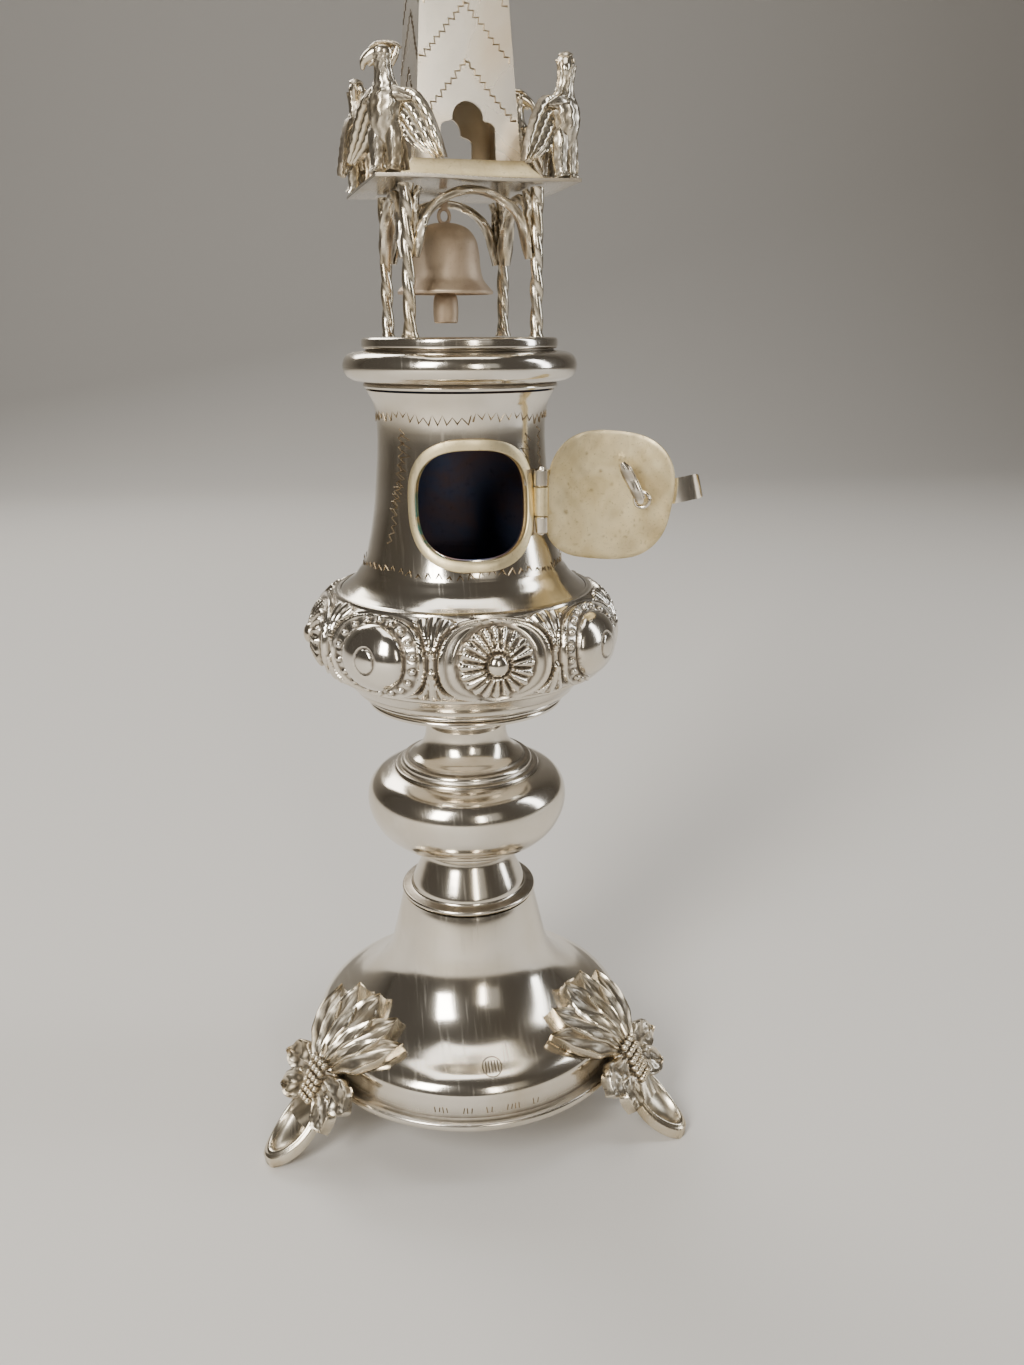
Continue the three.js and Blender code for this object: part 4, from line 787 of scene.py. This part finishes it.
# Collar
collar_line = outline(
    [[0.01, 139.1], [16.2, 139.1]],
    [[16.5, 139.2], [16.6, 139.6], [16.3, 140.1]],
    [[16.9, 140.2], [17.7, 140.35]],
    [[18.3, 140.45], [19.3, 141.1], [19.85, 142.2], [19.8, 143.4], [19.2, 144.4], [18.2, 144.9],
     [17.2, 145.0]],
    [[16.4, 145.05], [15.9, 145.25], [15.9, 145.4]],
    [[16.2, 145.45], [16.55, 145.7], [16.6, 146.4], [16.5, 147.0], [16.2, 147.25]],
    [[0.01, 147.3]],
)
grooved("collar_skin", collar_line, (140.15, 145.25), ["collar"], depth=0.9, width=0.25, beyond=15)

# Lantern
COLUMN_LOW, COLUMN_HIGH = 147.35, 169.7
SPREAD = 10.4


def lantern(points):
    return spin(points, LANTERN_TWIST)


def rope(low, high, radius, turns):
    rows, around = 90, 28
    z = np.linspace(low, high, rows)
    share = (z - low) / (high - low)
    angle = circle(around)
    phase = angle + share[:, None] * turns * 2 * math.pi
    groove = 1 - np.abs(np.cos(phase)) ** 0.8
    size = radius * (1.08 - 0.32 * groove) * (1 + 0.05 * np.sin(share * 23)[:, None])
    foot = 1 + 0.35 * np.exp(-((z - low) / 0.5) ** 2) + 0.2 * np.exp(-((z - high) / 0.8) ** 2)
    size = size * foot[:, None]
    heights = np.broadcast_to(z[:, None], size.shape)
    points = np.stack([size * np.cos(angle), size * np.sin(angle), heights], -1).reshape(-1, 3)
    # painted shade and tarnish in the twist's grooves
    return points, capped_faces(rows, around), (groove.ravel() ** 3) * 0.8


for corner in range(4):
    p, f, dark = rope(COLUMN_LOW, COLUMN_HIGH, 1.0, 2.5)
    p = spin(p + np.array([-SPREAD, -SPREAD, 0]), 90 * corner)
    piece(f"column_{corner + 1}_skin", [(p, f, dark)], CAST, [f"column_{corner + 1}"],
          place=lantern)


def lumpy(seed, strength=0.16):
    def ripple(angle, share):
        a = np.sin(angle * 3 + share * 19 + seed) + 0.7 * np.sin(angle * 5 - share * 31 + seed * 2)
        return 1 + strength * 0.5 * (a - 1) * np.ones_like(angle * share)
    return ripple


def arch_shells(seed):
    crown = 168.9
    left = [[-9.1, 0, 159.2], [-8.6, 0, 161.8], [-8.0, 0, 164.2], [-6.6, 0, 166.4], [-4.2, 0, 168.0],
            [-1.6, 0, crown]]
    wide = [1.1, 1.55, 1.4, 1.2, 1.05, 1.05]
    deep = [0.6, 0.85, 0.9, 0.8, 0.72, 0.72]
    full = left + [[-x, y, z] for x, y, z in left[::-1]]
    shells = [tube(full, wide + wide[::-1], deep + deep[::-1], side=(0, 1, 0), around=16, ripple=lumpy(seed))]
    for side in (-1, 1):
        spur = [[side * x, 0, z] for x, z in ((9.2, 162.6), (9.0, 165.4), (9.0, 167.6), (8.4, 169.3))]
        shells.append(tube(spur, [0.5, 0.95, 0.9, 0.75], [0.45, 0.65, 0.65, 0.55], side=(0, 1, 0), around=12,
                           ripple=lumpy(seed + side)))
        for face in (-1, 1):
            vein = [[side * x, face * y, z]
                    for x, y, z in ((9.15, 0.5, 159.6), (8.8, 0.62, 163.0), (7.2, 0.55, 165.9))]
            shells.append(tube(vein, [0.18, 0.2, 0.1], [0.16, 0.2, 0.1], side=(0, 1, 0), around=8))
    return shells


for corner in range(4):
    shells = [(spin(s[0] + np.array([0, -SPREAD, 0]), 90 * corner), s[1], s[2])
              for s in arch_shells(corner * 1.7)]
    piece(f"arch_{corner + 1}_skin", shells, CAST, [f"arch_{corner + 1}"], place=lantern)

# Bell
MOUTH, CROWN = 154.1, 165.1
BELL_WALL = 0.6
bell_outer = outline(
    [[7.9, MOUTH], [7.95, MOUTH + 0.35], [7.6, MOUTH + 0.8]],
    [[7.2, MOUTH + 1.2], [6.35, MOUTH + 2.3], [5.9, MOUTH + 4.0], [5.7, MOUTH + 6.2], [5.2, MOUTH + 8.4],
     [4.0, MOUTH + 10.0],
     [2.2, MOUTH + 10.8], [0.7, MOUTH + 11.0]], per=7)
bell_inner = offset(bell_outer, -BELL_WALL)
bell_inner[0, 1] = MOUTH
bell_line = np.vstack([bell_outer, [[0.02, CROWN]], [[0.02, CROWN - BELL_WALL]], bell_inner[::-1]])
bell_at = np.array([-2.3, 0, 0])
p, f = lathe(bell_line, 72, True)
hanger_t = np.linspace(0, 2 * math.pi, 25)
loop = np.stack([0.9 * np.cos(hanger_t), 0 * hanger_t, CROWN + 1.0 + 1.1 * np.sin(hanger_t)], 1)
hook = [[0, 0, CROWN + 1.9], [0.1, 0, CROWN + 2.8], [-0.1, 0, CROWN + 3.6], [0, 0, CROWN + 4.4]]
shells = [(p + bell_at, f), tube(loop + bell_at, np.full(25, 0.3), np.full(25, 0.3), side=(0, 1, 0),
                                 around=10, per=2),
          tube(np.array(hook) + bell_at, [0.55, 0.6, 0.6, 0.7], [0.55, 0.6, 0.6, 0.7], side=(1, 0, 0),
               around=12)]
piece("bell_skin", shells, COPPER, ["bell"], place=lantern)
clapper_line = outline(
    [[0.01, MOUTH - 4.6], [1.75, MOUTH - 4.6]],
    [[2.0, MOUTH - 4.4], [2.1, MOUTH - 2.8], [1.95, MOUTH - 0.6], [1.6, MOUTH + 0.1]],
    [[0.42, MOUTH + 0.2], [0.36, CROWN - 0.9]], [[0.01, CROWN - 0.9]])
p, f = lathe(clapper_line, 40)
piece("clapper_skin", [(p + bell_at, f)], COPPER, ["clapper"], place=lantern)

# Platform
PLATE_LOW, PLATE_HIGH = 169.75, 170.5
PLATE_HALF = 15.9
side = np.linspace(-1, 1, 40)
gx, gy = np.meshgrid(side, side, indexing="ij")
px, py = PLATE_HALF * gx, PLATE_HALF * gy
sag = 0.12 * np.sin(px * 0.25 + 0.6) * np.cos(py * 0.21) - 0.12 * np.maximum(np.abs(gx), np.abs(gy)) ** 8
top = np.stack([px, py, PLATE_HIGH + sag], -1)
under = np.stack([px, py, PLATE_LOW + 0.25 + sag], -1)
# painted shade on the plate's edge and, 0.3 darker, on its underside
edge = 0.35 * unit((np.maximum(np.abs(gx), np.abs(gy)) - 0.85) / 0.15)
p, f = sheet_shell(top, under)
piece("plate_skin", [(p, f, np.concatenate([edge.ravel(), 0.3 + edge.ravel()]))], SILVER, ["platform"],
      place=lantern)

# Spire
PAD_LOW, PAD_HIGH = 170.6, 173.5
SPIRE_LOW, SPIRE_HIGH = 173.5, 285.7
SPIRE_FOOT, SPIRE_TIP = 8.35, 1.0  # half-widths
SPIRE_WALL = 0.6
EDGE_POINTS = 48  # along a doorway's outline


def square_ring(half, z, round_by=0.5):
    """A square ring of 16 points with slightly rounded corners."""
    corner = []
    for k in range(4):
        base = math.pi / 4 + k * math.pi / 2
        cx = (half - round_by) * math.copysign(1, math.cos(base))
        cy = (half - round_by) * math.copysign(1, math.sin(base))
        for t in np.linspace(-math.pi / 4, math.pi / 4, 4):
            corner.append([cx + round_by * math.cos(base + t), cy + round_by * math.sin(base + t), z])
    return np.array(corner)


# the third value of each row is painted shade, darkest where the pad meets the plate and the spire
pad_rows = [(11.3, PAD_LOW, 0.4), (11.35, PAD_LOW + 0.3, 0.3), (11.0, PAD_LOW + 0.75, 0.1),
            (9.9, PAD_LOW + 1.8, 0.2),
            (9.1, PAD_HIGH - 0.25, 0.5), (8.95, PAD_HIGH, 0.6)]
p = np.concatenate([square_ring(half, z, 0.4) for half, z, _ in pad_rows])
dark = np.repeat([row[2] for row in pad_rows], 16)
piece("pad_skin", [(p, capped_faces(len(pad_rows), 16), dark)], BARE, ["spire_pad"], place=lantern)


def spire_half(z):
    return SPIRE_FOOT + (SPIRE_TIP - SPIRE_FOOT) * (z - SPIRE_LOW) / (SPIRE_HIGH - SPIRE_LOW)


def doorway_edge():
    """The doorway's outline from its left foot over the top to its right foot."""
    right = [[4.35, 0], [4.35, 2.5], [4.35, 4.6], [4.0, 5.2], [3.0, 5.5], [2.45, 5.65]]
    arch = [[2.45 * math.cos(a), 5.9 + 2.45 * math.sin(a)] for a in np.linspace(0.05, math.pi / 2, 12)]
    half_line = np.array(right + arch)
    line = np.vstack([half_line, (half_line * [-1, 1])[-2::-1]])[::-1]
    length = np.concatenate([[0], np.cumsum(np.linalg.norm(np.diff(line, axis=0), axis=1))])
    at = np.linspace(0, length[-1], EDGE_POINTS)
    return np.column_stack([np.interp(at, length, line[:, 0]), np.interp(at, length, line[:, 1])])


def spire_face(inward):
    """One face of the spire: a grid round its doorway, and another for everything above it."""
    top_z = 13.0
    corners = [0, 15, 32, EDGE_POINTS - 1]
    frame_line = np.column_stack([np.interp(np.arange(EDGE_POINTS), corners, [-1, -1, 1, 1]),
                                  np.interp(np.arange(EDGE_POINTS), corners, [0, top_z, top_z, 0])])
    rows = []
    for share in np.linspace(0, 1, 7):
        z = door_line[:, 1] * (1 - share) + frame_line[:, 1] * share
        half = spire_half(SPIRE_LOW + z) - inward
        x = door_line[:, 0] * (1 - share) + frame_line[:, 0] * half * share
        rows.append(np.stack([x, -half, SPIRE_LOW + z], 1))
    z, x = np.meshgrid(np.linspace(SPIRE_LOW + top_z, SPIRE_HIGH, 60), np.linspace(-1, 1, 18), indexing="ij")
    half = spire_half(z) - inward
    return [lattice(np.array(rows)), lattice(np.stack([x * half, -half, z], -1))]


door_line = doorway_edge()
spire_shells = []
for quarter in range(4):
    shells = spire_face(0.0) + spire_face(SPIRE_WALL)
    rim = [[[x, inward - spire_half(SPIRE_LOW + z), SPIRE_LOW + z] for x, z in door_line]
           for inward in (0.0, SPIRE_WALL)]
    shells.append(lattice(np.array(rim)))
    spire_shells += [(spin(points, 90 * quarter), faces) for points, faces in shells]
spire_shells.append((square_ring(SPIRE_TIP, SPIRE_HIGH, 0.1), [range(16)]))
shaded_shells = []
for points, faces in spire_shells:
    x, z = points[:, 0], points[:, 2]
    # painted shade low on the spire's +X side, in wavy patches, over a faint even darkening everywhere
    foot_shade = 0.5 * unit(1 - (z - SPIRE_LOW) / 11) * unit(np.sin(z * 0.9 + x * 0.7) * 0.5 + 0.6)
    shaded_shells.append((points, faces, np.maximum(foot_shade * (x > 2.5), 0.06)))
piece("spire_skin", shaded_shells, SHEET, ["spire"], place=lantern)

CHEVRON = 7.9
chevrons = []
for quarter in range(4):
    apex = SPIRE_LOW + 13.9
    drop = CHEVRON + 0.5
    while apex < SPIRE_HIGH - 3:
        half = spire_half(apex)
        for hand in (-1, 1):
            t = np.linspace(0, 1, 24)
            z = apex - drop * t * min(1, half / 6.5)
            x = hand * (spire_half(z) * 0.93) * t
            track = np.stack([x, -spire_half(z) - 0.01, z], 1)
            normal = np.tile([0.0, -1.0, 0.06], (24, 1))
            zig, out = wriggle(track, normal, 0.9 * min(1, half / 5), 0.55)
            chevrons.append((spin(zig, 90 * quarter), spin(out, 90 * quarter)))
        apex += CHEVRON * max(0.45, half / 7.4)
        drop = CHEVRON
strokes_on("spire_wriggle", chevrons, width=0.42, rise=0.06, place=lantern)

finial_line = outline(
    [[0.01, 285.8], [1.8, 285.8]], [[1.9, 286.1], [1.8, 286.6]], [[0.9, 287.0], [0.9, 287.4]],
    [[1.3, 287.6], [2.0, 288.3], [2.2, 289.4], [1.9, 290.5], [1.2, 291.3]],
    [[0.9, 291.6], [0.55, 293.4], [0.35, 296.5], [0.15, 297.8], [0.01, 298.0]])
piece("finial_skin", [lathe(finial_line, 48)], SILVER, ["finial"], place=lantern)

# Birds, made one unit high and facing -Y
BIRD = 17.4


def feathered(count, strength=0.1, rows=9.0):
    def ripple(angle, share):
        wave = np.cos(angle * count + np.sin(share * rows * 2 * math.pi) * 0.9)
        return 1 + strength * (wave - 1) / 2 * np.ones_like(angle * share)
    return ripple


def wing_shell(hand):
    rows, cols = 34, 26
    lead = smooth([[0.03, 0.62], [0.14, 0.655], [0.26, 0.63], [0.37, 0.50], [0.45, 0.32], [0.51, 0.14]], 12)
    trail = smooth([[0.02, 0.50], [0.07, 0.44], [0.12, 0.36], [0.16, 0.29], [0.24, 0.21], [0.40, 0.12]], 12)
    s = np.linspace(0, 1, rows)
    pick = s * (len(lead) - 1)
    lead = np.stack([np.interp(pick, np.arange(len(lead)), lead[:, k]) for k in range(2)], 1)
    trail = np.stack([np.interp(pick, np.arange(len(trail)), trail[:, k]) for k in range(2)], 1)
    t = np.linspace(0, 1, cols)
    flat = lead[:, None] * (1 - t)[None, :, None] + trail[:, None] * t[None, :, None]
    feather = 3.5
    saw = np.abs(np.sin(t * feather * math.pi))
    flat[..., 1] -= 0.03 * (1 - saw) * (s ** 6)[:, None]
    ridge = 0.026 * saw * np.clip(s * 3, 0.3, 1)[:, None] + 0.014 * np.exp(-(t / 0.1) ** 2)
    ridge += 0.005 * np.sin(s[:, None] * 60 + 9 * t)
    y = 0.03 + 0.10 * (flat[..., 0] / 0.45) ** 1.2
    top = np.stack([hand * flat[..., 0], y - 0.012 - ridge, flat[..., 1]], -1)
    under = np.stack([hand * flat[..., 0], y + 0.012 + 0.5 * ridge, flat[..., 1]], -1)
    p, f = sheet_shell(top, under)
    # painted shade and tarnish in the troughs between the feathers
    dark = np.broadcast_to(unit(1 - saw * 2.2), (rows, cols)).ravel() * 0.9
    return p, f, np.concatenate([dark, dark])


def bird_shells():
    shells = [
        tube([[0, 0.07, 0.20], [0, 0.03, 0.30], [0, 0.0, 0.42], [0, 0.0, 0.54], [0, 0.01, 0.64],
              [0, 0.0, 0.74], [0, -0.01, 0.84],
              [0, -0.015, 0.9]],
             [0.08, 0.125, 0.145, 0.165, 0.14, 0.09, 0.082, 0.09],
             [0.06, 0.1, 0.13, 0.13, 0.1, 0.075, 0.08, 0.088],
             around=36, per=8, ripple=feathered(9, 0.14)),
        wing_shell(1), wing_shell(-1),
        tube([[-0.24, 0.045, 0.57], [-0.12, 0.0, 0.60], [0, 0.0, 0.61], [0.12, 0.0, 0.60],
              [0.24, 0.045, 0.57]],
             [0.025, 0.06, 0.075, 0.06, 0.025], [0.02, 0.07, 0.085, 0.07, 0.02], side=(0, 1, 0), around=24,
             ripple=feathered(6, 0.2)),
        tube([[0, 0.10, 0.36], [0, 0.15, 0.22], [0, 0.16, 0.04]], [0.07, 0.11, 0.13], [0.05, 0.035, 0.025],
             around=24,
             ripple=feathered(6, 0.2)),
    ]
    for hand in (-1, 1):
        shells.append(tube([[hand * 0.06, 0.02, 0.42], [hand * 0.085, 0.0, 0.3], [hand * 0.09, 0.0, 0.16],
                            [hand * 0.085, -0.01, 0.06],
                            [hand * 0.09, -0.03, 0.0]],
                           [0.07, 0.085, 0.072, 0.06, 0.075], [0.07, 0.08, 0.07, 0.06, 0.075], around=24,
                           ripple=feathered(5, 0.16, 5.0)))
    head = [
        ball([0, -0.01, 0.915], [0.078, 0.095, 0.078], rings=12),
        tube([[0, -0.05, 0.92], [0, -0.12, 0.885], [0, -0.165, 0.845], [0, -0.175, 0.79]],
             [0.062, 0.052, 0.038, 0.014],
             [0.058, 0.05, 0.034, 0.012], around=16),
        tube([[0, -0.05, 0.875], [0, -0.1, 0.84], [0, -0.125, 0.82]], [0.04, 0.03, 0.01], [0.026, 0.02, 0.01],
             around=12),
        tube([[0, -0.11, 0.945], [0, -0.05, 0.978], [0, 0.03, 0.985], [0, 0.10, 0.975], [0, 0.155, 0.95]],
             [0.03, 0.06, 0.062, 0.042, 0.012], [0.016, 0.022, 0.024, 0.022, 0.01], around=16,
             ripple=feathered(4, 0.15)),
        tube([[0, 0.12, 0.955], [0, 0.10, 0.9], [0, 0.06, 0.83]], [0.022, 0.032, 0.03], [0.02, 0.03, 0.03],
             around=12),
        *(ball([x, -0.04, 0.93], [0.016, 0.018, 0.018], rings=6) for x in (0.07, -0.07)),
    ]
    shells += [(spin(s[0], -63), *s[1:]) for s in head]
    return shells


for corner in range(4):
    angle = -135 + 90 * corner
    perch = PLATE_HALF * math.sqrt(2) - 3.0
    spot = np.array([perch * math.cos(math.radians(angle)), perch * math.sin(math.radians(angle)), 170.45])
    shells = [(spin(s[0] * BIRD, angle + 90) + spot, *s[1:]) for s in bird_shells()]
    piece(f"bird_{corner + 1}_skin", shells, CAST, [f"bird_{corner + 1}"], sharp=60,
          place=lantern)

# Feet, made facing -Y
side_line = smooth([[19.4, 25.4], [24.0, 22.6], [28.6, 20.6], [31.4, 18.4], [33.4, 15.4], [34.8, 12.2],
                    [37.0, 9.0], [40.4, 5.4],
                    [43.6, 3.0], [46.0, 1.6]], 12)
side_length = np.concatenate([[0], np.cumsum(np.linalg.norm(np.diff(side_line, axis=0), axis=1))])


def side_at(along):
    return np.array([np.interp(along, side_length, side_line[:, k]) for k in (0, 1)])


def on_side(along, across, out):
    """A point over a foot's outer side: down from the highest leaf's tip, to one side, and out from it."""
    r, z = side_at(along)
    dr, dz = side_at(along + 0.3) - side_at(along - 0.3)
    size = np.maximum(np.hypot(dr, dz), 1e-6)
    nr, nz = -dz / size, dr / size
    bend = unit((36.0 - r) / 4.0)
    a = across / np.maximum(r, 1.0) * bend
    flat_x = across * (1 - bend)
    rr, zz = r + nr * out, z + nz * out
    return np.stack([rr * np.sin(a) + flat_x, -rr * np.cos(a), zz], -1)


HEART = float(np.interp(14.6, side_line[::-1, 1], side_length[::-1]))


def leaf_shell(start, tip, width, lift=(0.2, 0.5), cup=0.55, veins=5, thick=0.7):
    """A pointed leaf with a midrib, veins and raised edges, from one place [along, across] to another."""
    rows, cols = 34, 21
    t = np.linspace(0, 1, rows)
    v = np.linspace(-1, 1, cols)
    start, tip = np.array(start, float), np.array(tip, float)
    axis_dir = (tip - start) / np.linalg.norm(tip - start)
    cross_dir = np.array([-axis_dir[1], axis_dir[0]])
    half = width / 2 * np.interp(t, [0, 0.15, 0.4, 0.6, 0.8, 0.92, 1],
                                 [0.35, 0.62, 0.95, 1.0, 0.7, 0.33, 0.02])
    wavy = 1 + 0.05 * np.sin(t * veins * 2 * math.pi)
    spot = start + (tip - start) * t[:, None]
    plane = spot[:, None] + (half * wavy)[:, None, None] * v[None, :, None] * cross_dir
    rib = 0.45 * np.exp(-(v / 0.1) ** 2) * (1 - 0.5 * t[:, None])
    far = np.abs(v)
    side = 0.13 * np.cos((t[:, None] * veins - far * 0.9) * 2 * math.pi) * unit(far * 3) * (far < 0.8)
    edge = cup * np.exp(-((far - 0.88) / 0.14) ** 2)
    high = lift[0] + (lift[1] - lift[0]) * t[:, None] + edge + rib + side
    top = on_side(plane[..., 0], plane[..., 1], high)
    under = on_side(plane[..., 0], plane[..., 1], high * 0.3 - thick)
    p, f = sheet_shell(top, under)
    # painted shade and tarnish in the leaf's low parts, lighter on its rib, veins and raised edges
    dark = np.clip(0.75 - (edge + rib + side) * 1.5, 0, 0.85) * np.ones_like(high)
    return p, f, np.concatenate([dark.ravel(), np.zeros(dark.size)])


def crumpled(start, tip, width):
    """A small folded leaf beside the berries."""
    p, f, dark = leaf_shell(start, tip, width, (0.6, 1.2), 0.5, 3, 0.9)
    wave = 0.26 * np.sin(p[:, 2] * 1.5 + p[:, 0] * 1.1) + 0.12 * np.sin(p[:, 0] * 2.6 - p[:, 2] * 0.8)
    p[:, 1] -= wave * 0.6
    p[:, 2] += wave * 0.5
    # half the leaf's painted shade, plus painted shade in the folds that sink inward
    return p, f, np.clip(dark * 0.5 + np.clip(-wave * 2.2, 0, 0.5), 0, 0.8)


def spoon_shell():
    """The spoon-shaped toe: a raised oval border round a smooth hollow."""
    rows, cols = 30, 64
    rho = np.linspace(0, 1, rows)
    angle = circle(cols)
    tail = HEART + 8.6
    long_half, wide_half = 7.9, 4.7
    along = tail + 2.1 + rho[:, None] * long_half * np.cos(angle)
    across = rho[:, None] * wide_half * np.sin(angle) * (1 + 0.16 * -np.cos(angle))
    border = 1.0 * bump_line(rho, 0.8, 0.12) + 0.3 * bump_line(rho, 0.95, 0.05)
    hollow_depth = -1.1 * unit(1 - (rho / 0.7) ** 2) - 0.25
    high = (border + hollow_depth)[:, None] * np.ones_like(along)
    top = on_side(along, across, high)
    under = on_side(along, across,
                    -1.9 * np.sqrt(unit(1 - (rho * 0.98) ** 2))[:, None] * np.ones_like(along) - 0.1)
    under[..., 2] = np.maximum(under[..., 2] - 1.3, 0.0)
    top[..., 2] = np.maximum(top[..., 2], 0.25)
    points = np.concatenate([top.reshape(-1, 3), under.reshape(-1, 3)])
    grid, count = grid_faces(rows, cols, False, True), rows * cols
    faces = [*grid, *(grid[:, ::-1] + count)]
    last = count - cols
    for k in range(cols):
        a, b = last + k, last + (k + 1) % cols
        faces.append([b, a, a + count, b + count])
    # painted shade in the spoon's hollow and at the foot of its raised border
    dark = unit(0.6 * bump_line(rho, 0.62, 0.06) + 0.25 * (rho < 0.6))
    return points, faces, np.concatenate([np.repeat(dark, cols), np.zeros(rows * cols)])


def foot_shells():
    h = HEART
    shells = []
    fan = [(0.2, 0.0, 7.4), (2.2, -7.0, 6.8), (2.2, 7.0, 6.8), (6.6, -12.2, 6.4), (6.6, 12.2, 6.4)]
    for index, (along, across, width) in enumerate(fan[::-1]):
        start = [h - 2.4, across * 0.14]
        shells.append(leaf_shell(start, [along, across], width, (0.5, 1.0 + 0.12 * index), 0.7, 3, 0.8))
    for hand in (-1, 1):
        shells.append(crumpled([h - 0.2, hand * 2.6], [h + 1.6, hand * 11.6], 6.0))
        shells.append(crumpled([h + 2.6, hand * 1.6], [h + 7.4, hand * 8.6], 6.2))
    rows, cols = 26, 21
    t = np.linspace(-2.5, 9.5, rows)
    v = np.linspace(-1, 1, cols)
    half = np.interp(t, [-2.5, 0, 3, 6, 9.5], [3.4, 5.4, 6.6, 5.6, 4.0])
    along = h + t[:, None] * np.ones(cols)
    across = half[:, None] * v
    high = 1.1 * (1 - v ** 2) * np.ones((rows, 1)) + 0.14 * np.sin(across * 2.3 + t[:, None] * 1.3)
    top = on_side(along, across, high)
    under = on_side(along, across, -1.6 * (1 - 0.7 * v ** 2) * np.ones((rows, 1)))
    p, f = sheet_shell(top, under)
    # painted shade on the pad lying under the berries
    shells.append((p, f, np.full(len(p), 0.3)))
    for row in range(6):
        for col in (-1.5, -0.5, 0.5, 1.5):
            along_at = h - 2.6 + row * 1.5 + 0.5 * (col % 1)
            across_at = col * 1.3 * (1 - 0.04 * row) + 0.12 * math.sin(row * 2.1 + col)
            centre = on_side(np.array(along_at), np.array(across_at), np.array(1.5))
            below = on_side(np.array(along_at + 0.3), np.array(across_at), np.array(1.5))
            up = on_side(np.array(along_at), np.array(across_at), np.array(2.5)) - centre
            slope = (below - centre) / np.linalg.norm(below - centre)
            up /= np.linalg.norm(up)
            turn = np.stack([np.cross(up, slope), slope, up], 1)
            p, f = ball(centre, [0.55, 0.66, 0.9], turn, 8)
            # painted shade on each berry's lower side, towards the pad
            low = (p - centre) @ up
            shells.append((p, f, np.clip(0.7 - low * 1.4, 0, 0.95)))
    shells.append(spoon_shell())
    return shells


foot = foot_shells()
for name, angle in (("foot_left", -64), ("foot_right", 56), ("foot_back", 176)):
    shells = [(spin(s[0], angle), *s[1:]) for s in foot]
    piece(f"{name}_skin", shells, CAST, [name], sharp=60)

# Camera at the photograph's viewing angle
camera_data = bpy.data.cameras.new("camera")
camera = bpy.data.objects.new("camera", camera_data)
bpy.context.scene.collection.objects.link(camera)
camera_data.sensor_width = 36
camera_data.lens = 29.01
camera_data.clip_start = 0.005
pitch, turn = math.radians(17.84), math.radians(9.5)
forward = Vector((math.sin(turn) * math.cos(pitch), math.cos(turn) * math.cos(pitch), -math.sin(pitch)))
across_view = Vector((math.cos(turn), -math.sin(turn), 0))
up_view = across_view.cross(forward)
basis = Matrix((across_view, up_view, -forward)).transposed().to_4x4()
at = Vector((-23.61 * MM + AXIS.x, -193.76 * MM + AXIS.y, 148.63 * MM))
camera.matrix_world = Matrix.Translation(at) @ basis @ Matrix.Rotation(math.radians(-0.15), 4, "Z")
bpy.context.scene.camera = camera

# Floor, backdrop and studio lights
floor_material = bpy.data.materials.new("studio_floor")
floor_material.use_nodes = True
floor_shader = floor_material.node_tree.nodes["Principled BSDF"]
floor_shader.inputs["Base Color"].default_value = (0.62, 0.6, 0.57, 1)
floor_shader.inputs["Roughness"].default_value = 0.85
bend = [[0.9 + 0.6 * math.sin(a), 0.6 - 0.6 * math.cos(a)] for a in np.linspace(0.1, math.pi / 2, 12)]
rows = [[-2.5, 0.0], [0.9, 0.0], *bend, [1.5, 3.0]]
points = [[x, y, z] for y, z in rows for x in (-3.0, 3.0)]
mesh = bpy.data.meshes.new("studio_floor")
mesh.from_pydata(points, [], [[2 * k, 2 * k + 1, 2 * k + 3, 2 * k + 2] for k in range(len(rows) - 1)])
floor = bpy.data.objects.new("studio_floor", mesh)
bpy.context.scene.collection.objects.link(floor)
mesh.polygons.foreach_set("use_smooth", [True] * len(mesh.polygons))
mesh.materials.append(floor_material)


def softbox(name, place, aim, size, power, colour=(1.0, 0.97, 0.92)):
    data = bpy.data.lights.new(name, "AREA")
    data.shape = "RECTANGLE"
    data.size, data.size_y = size
    data.energy = power
    data.color = colour
    light = bpy.data.objects.new(name, data)
    bpy.context.scene.collection.objects.link(light)
    direction = Vector(aim) - Vector(place)
    light.matrix_world = Matrix.Translation(place) @ direction.to_track_quat("-Z", "Y").to_matrix().to_4x4()


softbox("key_light", (-0.5, -0.6, 0.55), (0, 0, 0.1), (0.25, 0.5), 9.0)
softbox("front_light", (0.14, -0.9, 0.4), (0, 0, 0.12), (0.1, 0.4), 1.8, (1.0, 0.93, 0.82))
softbox("face_card", (0.3, -0.85, 0.46), (0, 0, 0.17), (0.36, 0.5), 0.2, (1.0, 0.97, 0.9))
softbox("right_light", (0.8, -0.1, 0.45), (0, 0, 0.12), (0.16, 0.7), 3.0, (0.93, 0.96, 1.0))
softbox("back_light", (-0.3, 0.75, 0.7), (0, 0, 0.15), (0.5, 0.4), 5.0)
softbox("top_light", (0.0, 0.1, 1.1), (0, 0, 0), (0.7, 0.7), 5.0)
world = bpy.data.worlds.new("studio")
bpy.context.scene.world = world
world.use_nodes = True
world.node_tree.nodes["Background"].inputs["Color"].default_value = (0.4, 0.36, 0.31, 1)
world.node_tree.nodes["Background"].inputs["Strength"].default_value = 0.22
